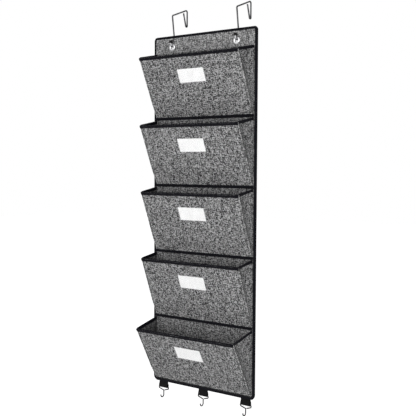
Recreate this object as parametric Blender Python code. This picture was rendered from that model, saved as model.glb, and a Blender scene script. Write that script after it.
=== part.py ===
"""Over-the-door file organizer, modelled piece by piece.

A stiff fabric back panel hangs from two wire hooks. Five file pockets stand open on its front,
one above the other. Each has a stiff front that folds up against the panel on its sewn bottom
edge, and two creased side gussets. Three key hooks hang from webbing loops along the bottom.

X runs across the panel, Y from the reader's side towards the door, and Z up. The origin lies on
the back of the panel, midway between the two grommets.
"""

import math

import bmesh
import bpy
from mathutils import Vector

# Clearances
SEAT_GAP = 0.0003
WIRE_CLEARANCE = 0.0004

# Fabrics, boards and tapes
FACE_FABRIC = 0.0009
LINING_FABRIC = 0.0006
LINING_PRESSED = 0.0002
PRESSED_EDGE = 0.0010
PANEL_BOARD = 0.0020
FRONT_BOARD = 0.0018
TAPE = 0.0008
TAPE_WIDTH = 0.0078

# Back panel
PANEL_WIDTH = 0.335
PANEL_HEIGHT = 0.940
HEADER_HEIGHT = 0.0460
TOP_CORNER_RADIUS = 0.0100
BOTTOM_CORNER_RADIUS = 0.0140
CORNER_STEPS = 6

# Pocket fronts
FRONT_SIDE_INSET = 0.0090
POCKET_DEPTHS = (0.070, 0.067, 0.062, 0.060, 0.080)
POCKET_COUNT = len(POCKET_DEPTHS)
TONGUE_THICKNESS = 0.0010
TONGUE_HEIGHT = 0.0040
TONGUE_CLEARANCE = 0.0005
STRIP_CLEARANCE = 0.0004
RIM_CLEARANCE = 0.0010
RIM_ROUND = 0.0016
ROUND_STEPS = 6

# Label holders
CARD_WIDTH = 0.0830
CARD_HEIGHT = 0.0360
CARD_THICKNESS = 0.0004
WINDOW_WALL = 0.0004
WINDOW_MARGIN = 0.0030
LABEL_DROP_SHARE = 0.34

# Side gussets
GUSSET_FABRIC = 0.0009
GUSSET_FOOT = 0.0140
GUSSET_FOLD = 0.0090
GUSSET_FOOT_FOLD = 0.0025
CREASE_TOP_SHARE = 0.76
GUSSET_LEVELS = 8

# Grommets
GROMMET_SIDE_INSET = 0.0630
GROMMET_DROP = 0.0310
GROMMET_RADIUS = 0.0097
GROMMET_HOLE_RADIUS = 0.0048
GROMMET_DOME = 0.0016
BARREL_WALL = 0.0006
GROMMET_LIP = 0.0018
GROMMET_LIP_THICKNESS = 0.0005
WASHER_RADIUS = 0.0090
WASHER_THICKNESS = 0.0007
ROUND_SIDES = 28
CLEAR_MARGIN = 0.0040

# Over-door hooks, measured with the hook upright
HOOK_WIRE_RADIUS = 0.0018
HOOK_LEAN = math.radians(8.0)
HOOK_BEND_RADIUS = 0.0045
HOOK_TIP_HEIGHT = 0.0160
HOOK_LEG_ABOVE_PANEL = 0.0500
HOOK_BAR_RISE = math.radians(13.0)
HOOK_BAR_LENGTH = 0.0680
HOOK_CLIP_LENGTH = 0.0455
HOOK_CLIP_LEAN = math.radians(8.0)
HOOK_CLIP_MOUTH = 0.0160
HOOK_CLIP_END_DROP = 0.0105
HOOK_CLIP_BEND_RADIUS = 0.0028
HOOK_REST_RISE = 0.0020
CAP_RADIUS = 0.0042
CAP_HEIGHT = 0.0072
CAP_COVER = 0.0055
CAP_ROUND = 0.0014

# Webbing loops and key hooks
LOOP_SIDE_INSET = 0.0310
LOOP_SIDES = (("left", -1), ("centre", 0), ("right", 1))
WEBBING_WIDTH = 0.0285
WEBBING = 0.0013
LOOP_SEWN_HEIGHT = 0.0220
LOOP_DROP = 0.0190
LOOP_INSIDE_RADIUS = 0.0034
KEY_WIRE_RADIUS = 0.0012
KEY_BEND_RADIUS = 0.0020
KEY_FRAME_CLEARANCE = 0.0010
KEY_FRAME_DROP = 0.0054
KEY_APEX_DROP = 0.0050
KEY_SHANK = 0.0110
KEY_HOOK_RADIUS = 0.0062
KEY_TIP_HEIGHT = 0.0012
KEY_END_GAP = 0.0006
BEND_STEPS = 7

# Places that follow from the sizes
PANEL_TOP = GROMMET_DROP
PANEL_BOTTOM = PANEL_TOP - PANEL_HEIGHT
POCKET_PITCH = (PANEL_HEIGHT - HEADER_HEIGHT) / POCKET_COUNT
GROMMET_SPACING = PANEL_WIDTH - 2 * GROMMET_SIDE_INSET
LOOP_SPACING = PANEL_WIDTH / 2 - LOOP_SIDE_INSET
LINING_FRONT = -LINING_FABRIC
BOARD_BACK = LINING_FRONT - SEAT_GAP
BOARD_FRONT = BOARD_BACK - PANEL_BOARD
FACE_BACK = BOARD_FRONT - SEAT_GAP
FACE_FRONT = FACE_BACK - FACE_FABRIC
TAPE_FRONT = FACE_FRONT - SEAT_GAP - TAPE
TAPE_BACK = SEAT_GAP + TAPE
FRONT_HALF_WIDTH = PANEL_WIDTH / 2 - FRONT_SIDE_INSET
FRONT_THICKNESS = 2 * FACE_FABRIC + 2 * SEAT_GAP + FRONT_BOARD
FOLD_AXIS_Y = FACE_FRONT - TONGUE_CLEARANCE - TONGUE_THICKNESS / 2
FRONT_INNER = TONGUE_THICKNESS / 2
FRONT_OUTER = FRONT_INNER - FRONT_THICKNESS
FRONT_LENGTH = POCKET_PITCH - TAPE_WIDTH - STRIP_CLEARANCE - TONGUE_THICKNESS / 2 - RIM_CLEARANCE


def fold_axis_height(pocket):
    """Height of the line on which a pocket's front folds."""
    band_bottom = PANEL_TOP - HEADER_HEIGHT - (pocket + 1) * POCKET_PITCH
    return band_bottom + TAPE_WIDTH + STRIP_CLEARANCE + TONGUE_THICKNESS / 2


def fold_angle(pocket):
    """How far a pocket's front stands open."""
    return math.asin(POCKET_DEPTHS[pocket] / FRONT_LENGTH)


def clear_scene():
    for old in list(bpy.data.objects):
        bpy.data.objects.remove(old, do_unlink=True)


def make_material(name, colour, roughness, metallic=0.0, alpha=1.0):
    material = bpy.data.materials.new(name)
    material.use_nodes = True
    shader = material.node_tree.nodes["Principled BSDF"]
    shader.inputs["Base Color"].default_value = (*colour, 1.0)
    shader.inputs["Roughness"].default_value = roughness
    shader.inputs["Metallic"].default_value = metallic
    shader.inputs["Alpha"].default_value = alpha
    return material


def add_object(name, data, material, parent=None, location=None):
    piece = bpy.data.objects.new(name, data)
    bpy.context.scene.collection.objects.link(piece)
    piece.data.materials.append(material)
    if parent is not None:
        piece.parent = parent
    if location is not None:
        piece.location = location
    return piece


def add_axis(name, location, tilt=0.0):
    """An empty on a joint's axis, turned about X, that carries the pieces of one moving body."""
    axis = bpy.data.objects.new(name, None)
    bpy.context.scene.collection.objects.link(axis)
    axis.location = location
    axis.rotation_euler = (tilt, 0.0, 0.0)
    return axis


def mesh_from(name, bm, smooth_angle=None, creased=False):
    """Turn the faces outwards and, where the piece is creased, split twisted quads into flat faces."""
    bmesh.ops.recalc_face_normals(bm, faces=bm.faces)
    if creased:
        bmesh.ops.triangulate(bm, faces=bm.faces)
    mesh = bpy.data.meshes.new(name)
    bm.to_mesh(mesh)
    bm.free()
    if smooth_angle is not None:
        mesh.shade_smooth()
        mesh.set_sharp_from_angle(angle=smooth_angle)
    return mesh


def loft_mesh(name, loops, closed=False, smooth_angle=None, creased=False):
    """A solid through equal loops of points, capped at its ends or closed into a ring."""
    bm = bmesh.new()
    rings = [[bm.verts.new(point) for point in loop] for loop in loops]
    pairs = list(zip(rings, rings[1:]))
    if closed:
        pairs.append((rings[-1], rings[0]))
    else:
        bm.faces.new(rings[0])
        bm.faces.new(rings[-1])
    count = len(rings[0])
    for low, high in pairs:
        for index in range(count):
            after = (index + 1) % count
            bm.faces.new((low[index], low[after], high[after], high[index]))
    return mesh_from(name, bm, smooth_angle, creased)


def rectangle(half_width, near_y, far_y, z):
    return [
        Vector((-half_width, near_y, z)),
        Vector((half_width, near_y, z)),
        Vector((half_width, far_y, z)),
        Vector((-half_width, far_y, z)),
    ]


def panel_corner(corner, inset, y):
    """One rounded corner of the panel's outline, drawn in by an inset. Corners run anticlockwise."""
    side_x, side_z = ((1, 1), (-1, 1), (-1, -1), (1, -1))[corner]
    radius = TOP_CORNER_RADIUS if side_z > 0 else BOTTOM_CORNER_RADIUS
    edge_z = PANEL_TOP if side_z > 0 else PANEL_BOTTOM
    centre = Vector((side_x * (PANEL_WIDTH / 2 - radius), y, edge_z - side_z * radius))
    points = []
    for step in range(CORNER_STEPS + 1):
        angle = (corner + step / CORNER_STEPS) * math.pi / 2
        points.append(centre + Vector((math.cos(angle), 0.0, math.sin(angle))) * (radius - inset))
    return points


def panel_outline(inset, y):
    """The panel's rounded outline, drawn in from its edge by an inset."""
    return [point for corner in range(4) for point in panel_corner(corner, inset, y)]


def pierced_layer_mesh(name, inset, front, back, hole_radius, pressed=0.0):
    """A flat layer with the two grommet holes, its faces cut into strips beside the holes.

    The middle strip holds one clear field, inside the binding, the washers and the webbing. Round
    that field the back of the layer can be pressed thinner, as sewing and grommets leave it.
    """
    hole_x = GROMMET_SPACING / 2
    field_x = hole_x - WASHER_RADIUS - CLEAR_MARGIN
    field_top = PANEL_TOP - TAPE_WIDTH - CLEAR_MARGIN
    field_bottom = PANEL_BOTTOM + LOOP_SEWN_HEIGHT + CLEAR_MARGIN
    quarter = ROUND_SIDES // 4
    bm = bmesh.new()
    levels = []
    for y, crown_y in ((front, front), (back - pressed, back)):

        def line(points):
            return [bm.verts.new(point) for point in points]

        cuts = (hole_x, field_x, -field_x, -hole_x)
        corners = [line(panel_corner(corner, inset, y)) for corner in range(4)]
        top = line([(x, y, PANEL_TOP - inset) for x in cuts])
        bottom = line([(x, y, PANEL_BOTTOM + inset) for x in reversed(cuts)])
        field = line([(field_x, y, field_top), (-field_x, y, field_top)])
        field += line([(-field_x, y, field_bottom), (field_x, y, field_bottom)])
        crown_x = field_x - PRESSED_EDGE
        crown_top = field_top - PRESSED_EDGE
        crown_bottom = field_bottom + PRESSED_EDGE
        crown = line([(crown_x, crown_y, crown_top), (-crown_x, crown_y, crown_top)])
        crown += line([(-crown_x, crown_y, crown_bottom), (crown_x, crown_y, crown_bottom)])
        holes = []
        for side in (1, -1):
            ring = []
            for step in range(ROUND_SIDES):
                turn = 2 * math.pi * step / ROUND_SIDES
                ring.append((side * (hole_x + hole_radius * math.cos(turn)), y, hole_radius * math.sin(turn)))
            holes.append(line(ring))
        right_edge = corners[3] + corners[0]
        left_edge = corners[2][::-1] + corners[1][::-1]
        sides = (
            (top[0], top[1], bottom[3], bottom[2], field[0], field[3], holes[0], right_edge),
            (top[3], top[2], bottom[0], bottom[1], field[1], field[2], holes[1], left_edge),
        )
        for hole_top, inner_top, hole_low, inner_low, field_high, field_low, ring, outline in sides:
            outer_half = ring[quarter::-1] + ring[: 3 * quarter - 1 : -1]
            inner_half = ring[quarter : 3 * quarter + 1]
            bm.faces.new([hole_top] + outer_half + [hole_low] + outline)
            bm.faces.new([hole_top] + inner_half + [hole_low, inner_low, field_low, field_high, inner_top])
        bm.faces.new((top[1], top[2], field[1], field[0]))
        bm.faces.new(crown)
        for corner in range(4):
            after = (corner + 1) % 4
            bm.faces.new((field[corner], field[after], crown[after], crown[corner]))
        bm.faces.new((field[3], field[2], bottom[1], bottom[2]))
        levels.append([corners[0] + top + corners[1] + corners[2] + bottom + corners[3]] + holes)
    for near, far in zip(*levels):
        for index in range(len(near)):
            after = (index + 1) % len(near)
            bm.faces.new((near[index], near[after], far[after], far[index]))
    return mesh_from(name, bm)


def make_panel(materials):
    """Face fabric, stiffener board and lining, each cut back to lie inside the edge binding."""
    edge = TAPE + SEAT_GAP
    barrel = GROMMET_HOLE_RADIUS + BARREL_WALL + SEAT_GAP
    layers = (
        ("panel_face", FACE_FRONT, FACE_BACK, 0.0, materials["tweed"]),
        ("panel_board", BOARD_FRONT, BOARD_BACK, 0.0, materials["board"]),
        ("panel_lining", LINING_FRONT, 0.0, LINING_PRESSED, materials["lining"]),
    )
    for name, front, back, pressed, material in layers:
        add_object(name, pierced_layer_mesh(name, edge, front, back, barrel, pressed), material)


def make_panel_binding(material):
    """One tape folded over the panel's edge all the way round."""
    profile = (
        (0.0, TAPE_FRONT),
        (TAPE_WIDTH, TAPE_FRONT),
        (TAPE_WIDTH, TAPE_FRONT + TAPE),
        (TAPE, TAPE_FRONT + TAPE),
        (TAPE, TAPE_BACK - TAPE),
        (TAPE_WIDTH, TAPE_BACK - TAPE),
        (TAPE_WIDTH, TAPE_BACK),
        (0.0, TAPE_BACK),
    )
    lines = [panel_outline(inset, y) for inset, y in profile]
    add_object("panel_binding", loft_mesh("panel_binding", lines, closed=True), material)


def make_seam_strips(material):
    """The tapes that cover the sewn bottom edges of the upper pockets."""
    half = PANEL_WIDTH / 2 - TAPE_WIDTH - SEAT_GAP
    for pocket in range(POCKET_COUNT - 1):
        top = fold_axis_height(pocket) - TONGUE_THICKNESS / 2 - STRIP_CLEARANCE
        loops = [
            rectangle(half, TAPE_FRONT, TAPE_FRONT + TAPE, top - TAPE_WIDTH),
            rectangle(half, TAPE_FRONT, TAPE_FRONT + TAPE, top),
        ]
        name = f"seam_strip_{pocket + 1}"
        add_object(name, loft_mesh(name, loops), material)


def turned_mesh(name, profile, sides, centre):
    """Turn a closed profile of radius and Y about an axis along Y."""
    loops = []
    for radius, y in profile:
        turns = [2 * math.pi * side / sides for side in range(sides)]
        loops.append(
            [centre + Vector((radius * math.cos(turn), y, radius * math.sin(turn))) for turn in turns]
        )
    return loft_mesh(name, loops, closed=True, smooth_angle=math.radians(35))


def make_grommets(material):
    """Each grommet is a domed eyelet whose barrel is rolled over a washer at the back."""
    barrel = GROMMET_HOLE_RADIUS + BARREL_WALL
    seat = FACE_FRONT - SEAT_GAP
    washer_back = SEAT_GAP + WASHER_THICKNESS
    lip_front = washer_back + SEAT_GAP
    lip_back = lip_front + GROMMET_LIP_THICKNESS
    ring = GROMMET_RADIUS - GROMMET_HOLE_RADIUS
    profile = [(barrel, lip_front), (barrel, seat), (GROMMET_RADIUS, seat)]
    for step in range(1, ROUND_STEPS + 1):
        turn = math.pi * step / (ROUND_STEPS + 1)
        radius = GROMMET_RADIUS - ring * (1 - math.cos(turn)) / 2
        profile.append((radius, seat - GROMMET_DOME * math.sin(turn)))
    profile += [
        (GROMMET_HOLE_RADIUS, seat),
        (GROMMET_HOLE_RADIUS, lip_back),
        (barrel + GROMMET_LIP, lip_back),
        (barrel + GROMMET_LIP, lip_front),
    ]
    washer = [
        (barrel + SEAT_GAP, SEAT_GAP),
        (WASHER_RADIUS, SEAT_GAP),
        (WASHER_RADIUS, washer_back),
        (barrel + SEAT_GAP, washer_back),
    ]
    for side_name, side in (("left", -1), ("right", 1)):
        centre = Vector((side * GROMMET_SPACING / 2, 0.0, 0.0))
        eyelet_name = f"grommet_{side_name}"
        washer_name = f"grommet_washer_{side_name}"
        add_object(eyelet_name, turned_mesh(eyelet_name, profile, ROUND_SIDES, centre), material)
        add_object(washer_name, turned_mesh(washer_name, washer, ROUND_SIDES, centre), material)


def make_front_cover(pocket, axis, material):
    """The fabric sleeve of a pocket's front, with the sewn tongue that it folds on."""
    half = FRONT_HALF_WIDTH
    inner_half = half - FACE_FABRIC
    top = FRONT_LENGTH - TAPE - SEAT_GAP
    tongue = TONGUE_THICKNESS / 2
    tongue_half = half - SEAT_GAP - max(BOTTOM_CORNER_RADIUS - FRONT_SIDE_INSET, 0.0)
    floor = TONGUE_HEIGHT + FACE_FABRIC
    loops = [
        rectangle(tongue_half, -tongue, tongue, -tongue),
        rectangle(tongue_half, -tongue, tongue, TONGUE_HEIGHT),
        rectangle(half, FRONT_OUTER, FRONT_INNER, TONGUE_HEIGHT + FACE_FABRIC / 2),
        rectangle(half, FRONT_OUTER, FRONT_INNER, top),
        rectangle(inner_half, FRONT_OUTER + FACE_FABRIC, FRONT_INNER - FACE_FABRIC, top),
        rectangle(inner_half, FRONT_OUTER + FACE_FABRIC, FRONT_INNER - FACE_FABRIC, floor),
    ]
    name = f"pocket_{pocket + 1}_front_cover"
    add_object(name, loft_mesh(name, loops), material, axis)


def make_front_board(pocket, axis, material):
    """The stiffener that slides into the sleeve."""
    half = FRONT_HALF_WIDTH - FACE_FABRIC - SEAT_GAP
    near = FRONT_OUTER + FACE_FABRIC + SEAT_GAP
    bottom = TONGUE_HEIGHT + FACE_FABRIC + SEAT_GAP
    top = FRONT_LENGTH - TAPE - SEAT_GAP
    loops = [
        rectangle(half, near, near + FRONT_BOARD, bottom),
        rectangle(half, near, near + FRONT_BOARD, top),
    ]
    name = f"pocket_{pocket + 1}_front_board"
    add_object(name, loft_mesh(name, loops), material, axis)


def make_rim_binding(pocket, axis, material):
    """The tape folded over the top edge of a pocket's front."""
    near = FRONT_OUTER - SEAT_GAP
    far = FRONT_INNER + SEAT_GAP
    skirt = FRONT_LENGTH - TAPE_WIDTH
    shoulder = FRONT_LENGTH - RIM_ROUND
    outline = [(near - TAPE, skirt)]
    for centre, first in ((near - TAPE + RIM_ROUND, 2), (far + TAPE - RIM_ROUND, 1)):
        for step in range(ROUND_STEPS + 1):
            turn = math.pi / 2 * (first - step / ROUND_STEPS)
            outline.append((centre + RIM_ROUND * math.cos(turn), shoulder + RIM_ROUND * math.sin(turn)))
    outline += [
        (far + TAPE, skirt),
        (far, skirt),
        (far, FRONT_LENGTH - TAPE),
        (near, FRONT_LENGTH - TAPE),
        (near, skirt),
    ]
    loops = [[Vector((x, y, z)) for y, z in outline] for x in (-FRONT_HALF_WIDTH, FRONT_HALF_WIDTH)]
    name = f"pocket_{pocket + 1}_rim_binding"
    add_object(name, loft_mesh(name, loops, smooth_angle=math.radians(40)), material, axis)


def make_label_card(pocket, axis, material):
    """The paper card behind the label window."""
    middle = FRONT_LENGTH * (1 - LABEL_DROP_SHARE)
    back = FRONT_OUTER - SEAT_GAP
    loops = [
        rectangle(CARD_WIDTH / 2, back - CARD_THICKNESS, back, middle - CARD_HEIGHT / 2),
        rectangle(CARD_WIDTH / 2, back - CARD_THICKNESS, back, middle + CARD_HEIGHT / 2),
    ]
    name = f"pocket_{pocket + 1}_label_card"
    add_object(name, loft_mesh(name, loops), material, axis)


def make_label_window(pocket, axis, material):
    """The clear holder over the card, sewn down on three sides and open at the top."""
    back = FRONT_OUTER - SEAT_GAP
    inside = back - CARD_THICKNESS - SEAT_GAP
    front = inside - WINDOW_WALL
    inner = CARD_WIDTH / 2 + SEAT_GAP
    outer = inner + WINDOW_MARGIN
    card_bottom = FRONT_LENGTH * (1 - LABEL_DROP_SHARE) - CARD_HEIGHT / 2
    floor = card_bottom - SEAT_GAP
    bottom = floor - WINDOW_MARGIN
    top = card_bottom + CARD_HEIGHT + SEAT_GAP
    bm = bmesh.new()

    def corner(x, y, z):
        return bm.verts.new((x, y, z))

    left, right = [
        {
            "front_low": corner(side * outer, front, bottom),
            "front_high": corner(side * outer, front, top),
            "back_low": corner(side * outer, back, bottom),
            "back_high": corner(side * outer, back, top),
            "inside_low": corner(side * inner, inside, floor),
            "inside_high": corner(side * inner, inside, top),
            "mouth_low": corner(side * inner, back, floor),
            "mouth_high": corner(side * inner, back, top),
        }
        for side in (-1, 1)
    ]
    for here in (left, right):
        bm.faces.new([here[key] for key in ("front_low", "front_high", "back_high", "back_low")])
        bm.faces.new([here[key] for key in ("mouth_low", "mouth_high", "inside_high", "inside_low")])
    spans = (("front_low", "front_high"), ("front_low", "back_low"), ("inside_low", "inside_high"))
    for first, second in spans + (("inside_low", "mouth_low"),):
        bm.faces.new((left[first], left[second], right[second], right[first]))
    rims = (
        (("back_high", "front_high"), ("inside_high", "mouth_high")),
        (("back_high", "back_low"), ("mouth_low", "mouth_high")),
    )
    for outer_keys, inner_keys in rims:
        loop = [left[key] for key in outer_keys]
        loop += [right[key] for key in reversed(outer_keys)]
        loop += [right[key] for key in reversed(inner_keys)]
        loop += [left[key] for key in inner_keys]
        bm.faces.new(loop)
    name = f"pocket_{pocket + 1}_label_window"
    add_object(name, mesh_from(name, bm), material, axis)


def gusset_level(pocket, share, tape):
    """Depth, height and inward fold of a gusset at a share of its own height."""
    angle = fold_angle(pocket)
    along = GUSSET_FOOT + (FRONT_LENGTH - GUSSET_FOOT) * share
    inner = FRONT_INNER + SEAT_GAP
    if tape > 0:
        inner += TAPE + SEAT_GAP
    front_y = FOLD_AXIS_Y - along * math.sin(angle) + inner * math.cos(angle)
    front_z = along * math.cos(angle) + inner * math.sin(angle)
    if share > CREASE_TOP_SHARE:
        fold = GUSSET_FOLD * (1 - share) / (1 - CREASE_TOP_SHARE)
    else:
        rise = share / CREASE_TOP_SHARE
        fold = GUSSET_FOOT_FOLD + (GUSSET_FOLD - GUSSET_FOOT_FOLD) * rise
    return front_y, front_z, along, fold


def make_gusset(pocket, side_name, side, material):
    """A side gusset, creased inwards below its taut top edge, which carries its own tape."""
    rear_y = FACE_FRONT - SEAT_GAP
    base = fold_axis_height(pocket)
    tape_share = (TAPE_WIDTH + SEAT_GAP) / (FRONT_LENGTH - GUSSET_FOOT)
    below = [CREASE_TOP_SHARE * level / GUSSET_LEVELS for level in range(GUSSET_LEVELS + 1)]
    levels = [(share, 0.0) for share in below + [1 - tape_share]]
    levels += [(1 - tape_share, TAPE), (1.0, TAPE)]
    outside = FRONT_HALF_WIDTH - TAPE
    loops = []
    for share, tape in levels:
        front_y, front_z, along, fold = gusset_level(pocket, share, tape)
        middle_y = (front_y + rear_y) / 2
        line = [(rear_y, 0.0, along), (middle_y, fold, (along + front_z) / 2), (front_y, 0.0, front_z)]
        outer = [(outside + tape - inward, y, z) for y, inward, z in line]
        inner = [(outside - GUSSET_FABRIC - tape - inward, y, z) for y, inward, z in reversed(line)]
        loops.append([Vector((side * x, y, base + z)) for x, y, z in outer + inner])
    name = f"pocket_{pocket + 1}_gusset_{side_name}"
    add_object(name, loft_mesh(name, loops, creased=True), material)


def make_pockets(materials):
    for pocket in range(POCKET_COUNT):
        place = (0.0, FOLD_AXIS_Y, fold_axis_height(pocket))
        axis = add_axis(f"pocket_{pocket + 1}_fold_axis", place, fold_angle(pocket))
        make_front_cover(pocket, axis, materials["tweed"])
        make_front_board(pocket, axis, materials["board"])
        make_rim_binding(pocket, axis, materials["tape"])
        make_label_card(pocket, axis, materials["card"])
        make_label_window(pocket, axis, materials["window"])
        for side_name, side in (("left", -1), ("right", 1)):
            make_gusset(pocket, side_name, side, materials["tweed"])


def bent_path(corners, radii):
    """A path through corner points, each inner corner rounded to its bend radius."""
    points = [corners[0]]
    for before, here, after, radius in zip(corners, corners[1:], corners[2:], radii):
        inward = (before - here).normalized()
        onward = (after - here).normalized()
        half = inward.angle(onward) / 2
        reach = radius / math.tan(half)
        centre = here + (inward + onward).normalized() * radius / math.sin(half)
        start = here + inward * reach - centre
        end = here + onward * reach - centre
        turn = start.angle(end)
        for step in range(BEND_STEPS + 1):
            share = step / BEND_STEPS
            first = math.sin(turn * (1 - share)) / math.sin(turn)
            second = math.sin(turn * share) / math.sin(turn)
            points.append(centre + start * first + end * second)
    points.append(corners[-1])
    return points


def add_wire(name, points, radius, resolution, material, parent):
    curve = bpy.data.curves.new(name, "CURVE")
    curve.dimensions = "3D"
    curve.bevel_depth = radius
    curve.bevel_resolution = resolution
    curve.use_fill_caps = True
    spline = curve.splines.new("POLY")
    spline.points.add(len(points) - 1)
    for target, point in zip(spline.points, points):
        target.co = (*point, 1.0)
    return add_object(name, curve, material, parent)


def hook_corners():
    """The over-door hook's corners, upright, from its front tip to the clip's free end."""
    wire = HOOK_WIRE_RADIUS
    tip_y = FACE_FRONT - SEAT_GAP - CAP_RADIUS - SEAT_GAP - hook_axis_y()
    top_reach = (PANEL_TOP - HOOK_REST_RISE) * math.tan(HOOK_LEAN)
    leg_clear = TAPE_BACK + WIRE_CLEARANCE + wire / math.cos(HOOK_LEAN)
    leg_y = (leg_clear + top_reach - hook_axis_y()) * math.cos(HOOK_LEAN)
    leg_top = (PANEL_TOP + HOOK_LEG_ABOVE_PANEL) / math.cos(HOOK_LEAN)
    bar = Vector((0.0, math.cos(HOOK_BAR_RISE), math.sin(HOOK_BAR_RISE)))
    front_top = Vector((0.0, leg_y, leg_top))
    rear_top = front_top + bar * HOOK_BAR_LENGTH
    clip = Vector((0.0, -math.sin(HOOK_CLIP_LEAN), -math.cos(HOOK_CLIP_LEAN)))
    across = Vector((0.0, -math.cos(HOOK_CLIP_LEAN), math.sin(HOOK_CLIP_LEAN)))
    clip_foot = rear_top + clip * HOOK_CLIP_LENGTH
    turn_back = clip_foot + across * (2 * HOOK_CLIP_BEND_RADIUS)
    clip_end = rear_top + clip * HOOK_CLIP_END_DROP + across * HOOK_CLIP_MOUTH
    corners = [
        Vector((0.0, tip_y, HOOK_TIP_HEIGHT)),
        Vector((0.0, tip_y, 0.0)),
        Vector((0.0, leg_y, 0.0)),
        front_top,
        rear_top,
        clip_foot,
        turn_back,
        clip_end,
    ]
    bend = HOOK_BEND_RADIUS
    clip_bend = HOOK_CLIP_BEND_RADIUS
    return corners, (bend, bend, bend, bend, clip_bend, clip_bend)


def hook_axis_y():
    """The hook rocks where it passes through the middle of the panel's thickness."""
    return FACE_FRONT / 2


def make_cap(name, material, axis):
    """The blind plastic cap on a hook's front tip."""
    corners, _ = hook_corners()
    tip = corners[0]
    bore = HOOK_WIRE_RADIUS + SEAT_GAP
    top = tip.z + CAP_HEIGHT - CAP_COVER
    foot = tip.z - CAP_COVER
    rings = [(bore, tip.z + SEAT_GAP), (bore, foot), (CAP_RADIUS, foot)]
    for step in range(ROUND_STEPS + 1):
        turn = math.pi / 2 * step / ROUND_STEPS
        radius = CAP_RADIUS - CAP_ROUND * (1 - math.cos(turn))
        rings.append((radius, top - CAP_ROUND * (1 - math.sin(turn))))
    turns = [2 * math.pi * side / ROUND_SIDES for side in range(ROUND_SIDES)]
    loops = []
    for radius, z in rings:
        loops.append(
            [Vector((radius * math.cos(turn), tip.y + radius * math.sin(turn), z)) for turn in turns]
        )
    add_object(name, loft_mesh(name, loops, smooth_angle=math.radians(40)), material, axis)


def make_over_door_hooks(materials):
    for side_name, side in (("left", -1), ("right", 1)):
        place = (side * GROMMET_SPACING / 2, hook_axis_y(), HOOK_REST_RISE)
        axis = add_axis(f"hook_{side_name}_axis", place, HOOK_LEAN)
        corners, radii = hook_corners()
        points = bent_path(corners, radii)
        add_wire(f"over_door_hook_{side_name}", points, HOOK_WIRE_RADIUS, 3, materials["chrome"], axis)
        make_cap(f"hook_cap_{side_name}", materials["plastic"], axis)


def key_axis():
    """Where a key hook's top bar lies in its webbing loop."""
    y = TAPE_BACK + SEAT_GAP + WEBBING + SEAT_GAP / 2
    z = PANEL_BOTTOM - LOOP_DROP + LOOP_INSIDE_RADIUS + WEBBING
    return y, z


def make_webbing_loop(side_name, side, material):
    """A strap folded in half round the key hook's bar and sewn to the panel's back."""
    middle_y, bar_z = key_axis()
    ply = WEBBING / 2 + SEAT_GAP / 2
    bulge = LOOP_INSIDE_RADIUS + WEBBING / 2
    sewn_top = PANEL_BOTTOM + LOOP_SEWN_HEIGHT
    neck = PANEL_BOTTOM
    line = [(-ply, sewn_top), (-ply, neck)]
    neck_height = neck - bar_z
    for step in range(1, ROUND_STEPS):
        share = step / ROUND_STEPS
        ease = share * share * (3 - 2 * share)
        line.append((-ply - (bulge - ply) * ease, neck - neck_height * share))
    for step in range(ROUND_STEPS + 1):
        turn = math.pi / 2 * step / ROUND_STEPS
        line.append((-bulge * math.cos(turn), bar_z - bulge * math.sin(turn)))
    line += [(-y, z) for y, z in reversed(line[:-1])]
    loops = []
    for index, (y, z) in enumerate(line):
        before = line[max(index - 1, 0)]
        after = line[min(index + 1, len(line) - 1)]
        along = Vector((0.0, after[0] - before[0], after[1] - before[1])).normalized()
        out = Vector((0.0, -along.z, along.y)) * (WEBBING / 2)
        centre = Vector((side * LOOP_SPACING, middle_y + y, z))
        reach = Vector((WEBBING_WIDTH / 2, 0.0, 0.0))
        loops.append([centre - reach - out, centre + reach - out, centre + reach + out, centre - reach + out])
    name = f"webbing_loop_{side_name}"
    add_object(name, loft_mesh(name, loops), material)


def make_key_hook(side_name, side, material):
    """One bent wire: a bar in the webbing loop, a frame below it and a hook that opens forwards."""
    middle_y, bar_z = key_axis()
    axis = add_axis(f"key_hook_{side_name}_axis", (side * LOOP_SPACING, middle_y, key_bar_height(bar_z)))
    half = WEBBING_WIDTH / 2 + KEY_FRAME_CLEARANCE + KEY_WIRE_RADIUS
    apex = -KEY_FRAME_DROP - KEY_APEX_DROP
    end_x = 2 * KEY_WIRE_RADIUS + KEY_END_GAP
    end_share = end_x / half
    foot = apex - KEY_SHANK
    corners = [
        Vector((0.0, -2 * KEY_HOOK_RADIUS, foot + KEY_TIP_HEIGHT)),
        Vector((0.0, -2 * KEY_HOOK_RADIUS, foot - KEY_HOOK_RADIUS)),
        Vector((0.0, 0.0, foot - KEY_HOOK_RADIUS)),
        Vector((0.0, 0.0, apex)),
        Vector((-half, 0.0, -KEY_FRAME_DROP)),
        Vector((-half, 0.0, 0.0)),
        Vector((half, 0.0, 0.0)),
        Vector((half, 0.0, -KEY_FRAME_DROP)),
        Vector((end_x, 0.0, apex + KEY_APEX_DROP * end_share)),
    ]
    hook = KEY_HOOK_RADIUS
    bend = KEY_BEND_RADIUS
    points = bent_path(corners, (hook, hook, bend, bend, bend, bend, bend))
    add_wire(f"key_hook_{side_name}", points, KEY_WIRE_RADIUS, 2, material, axis)


def key_bar_height(bar_z):
    """The bar rests on the inside of its loop."""
    return bar_z - LOOP_INSIDE_RADIUS + KEY_WIRE_RADIUS + SEAT_GAP


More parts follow.
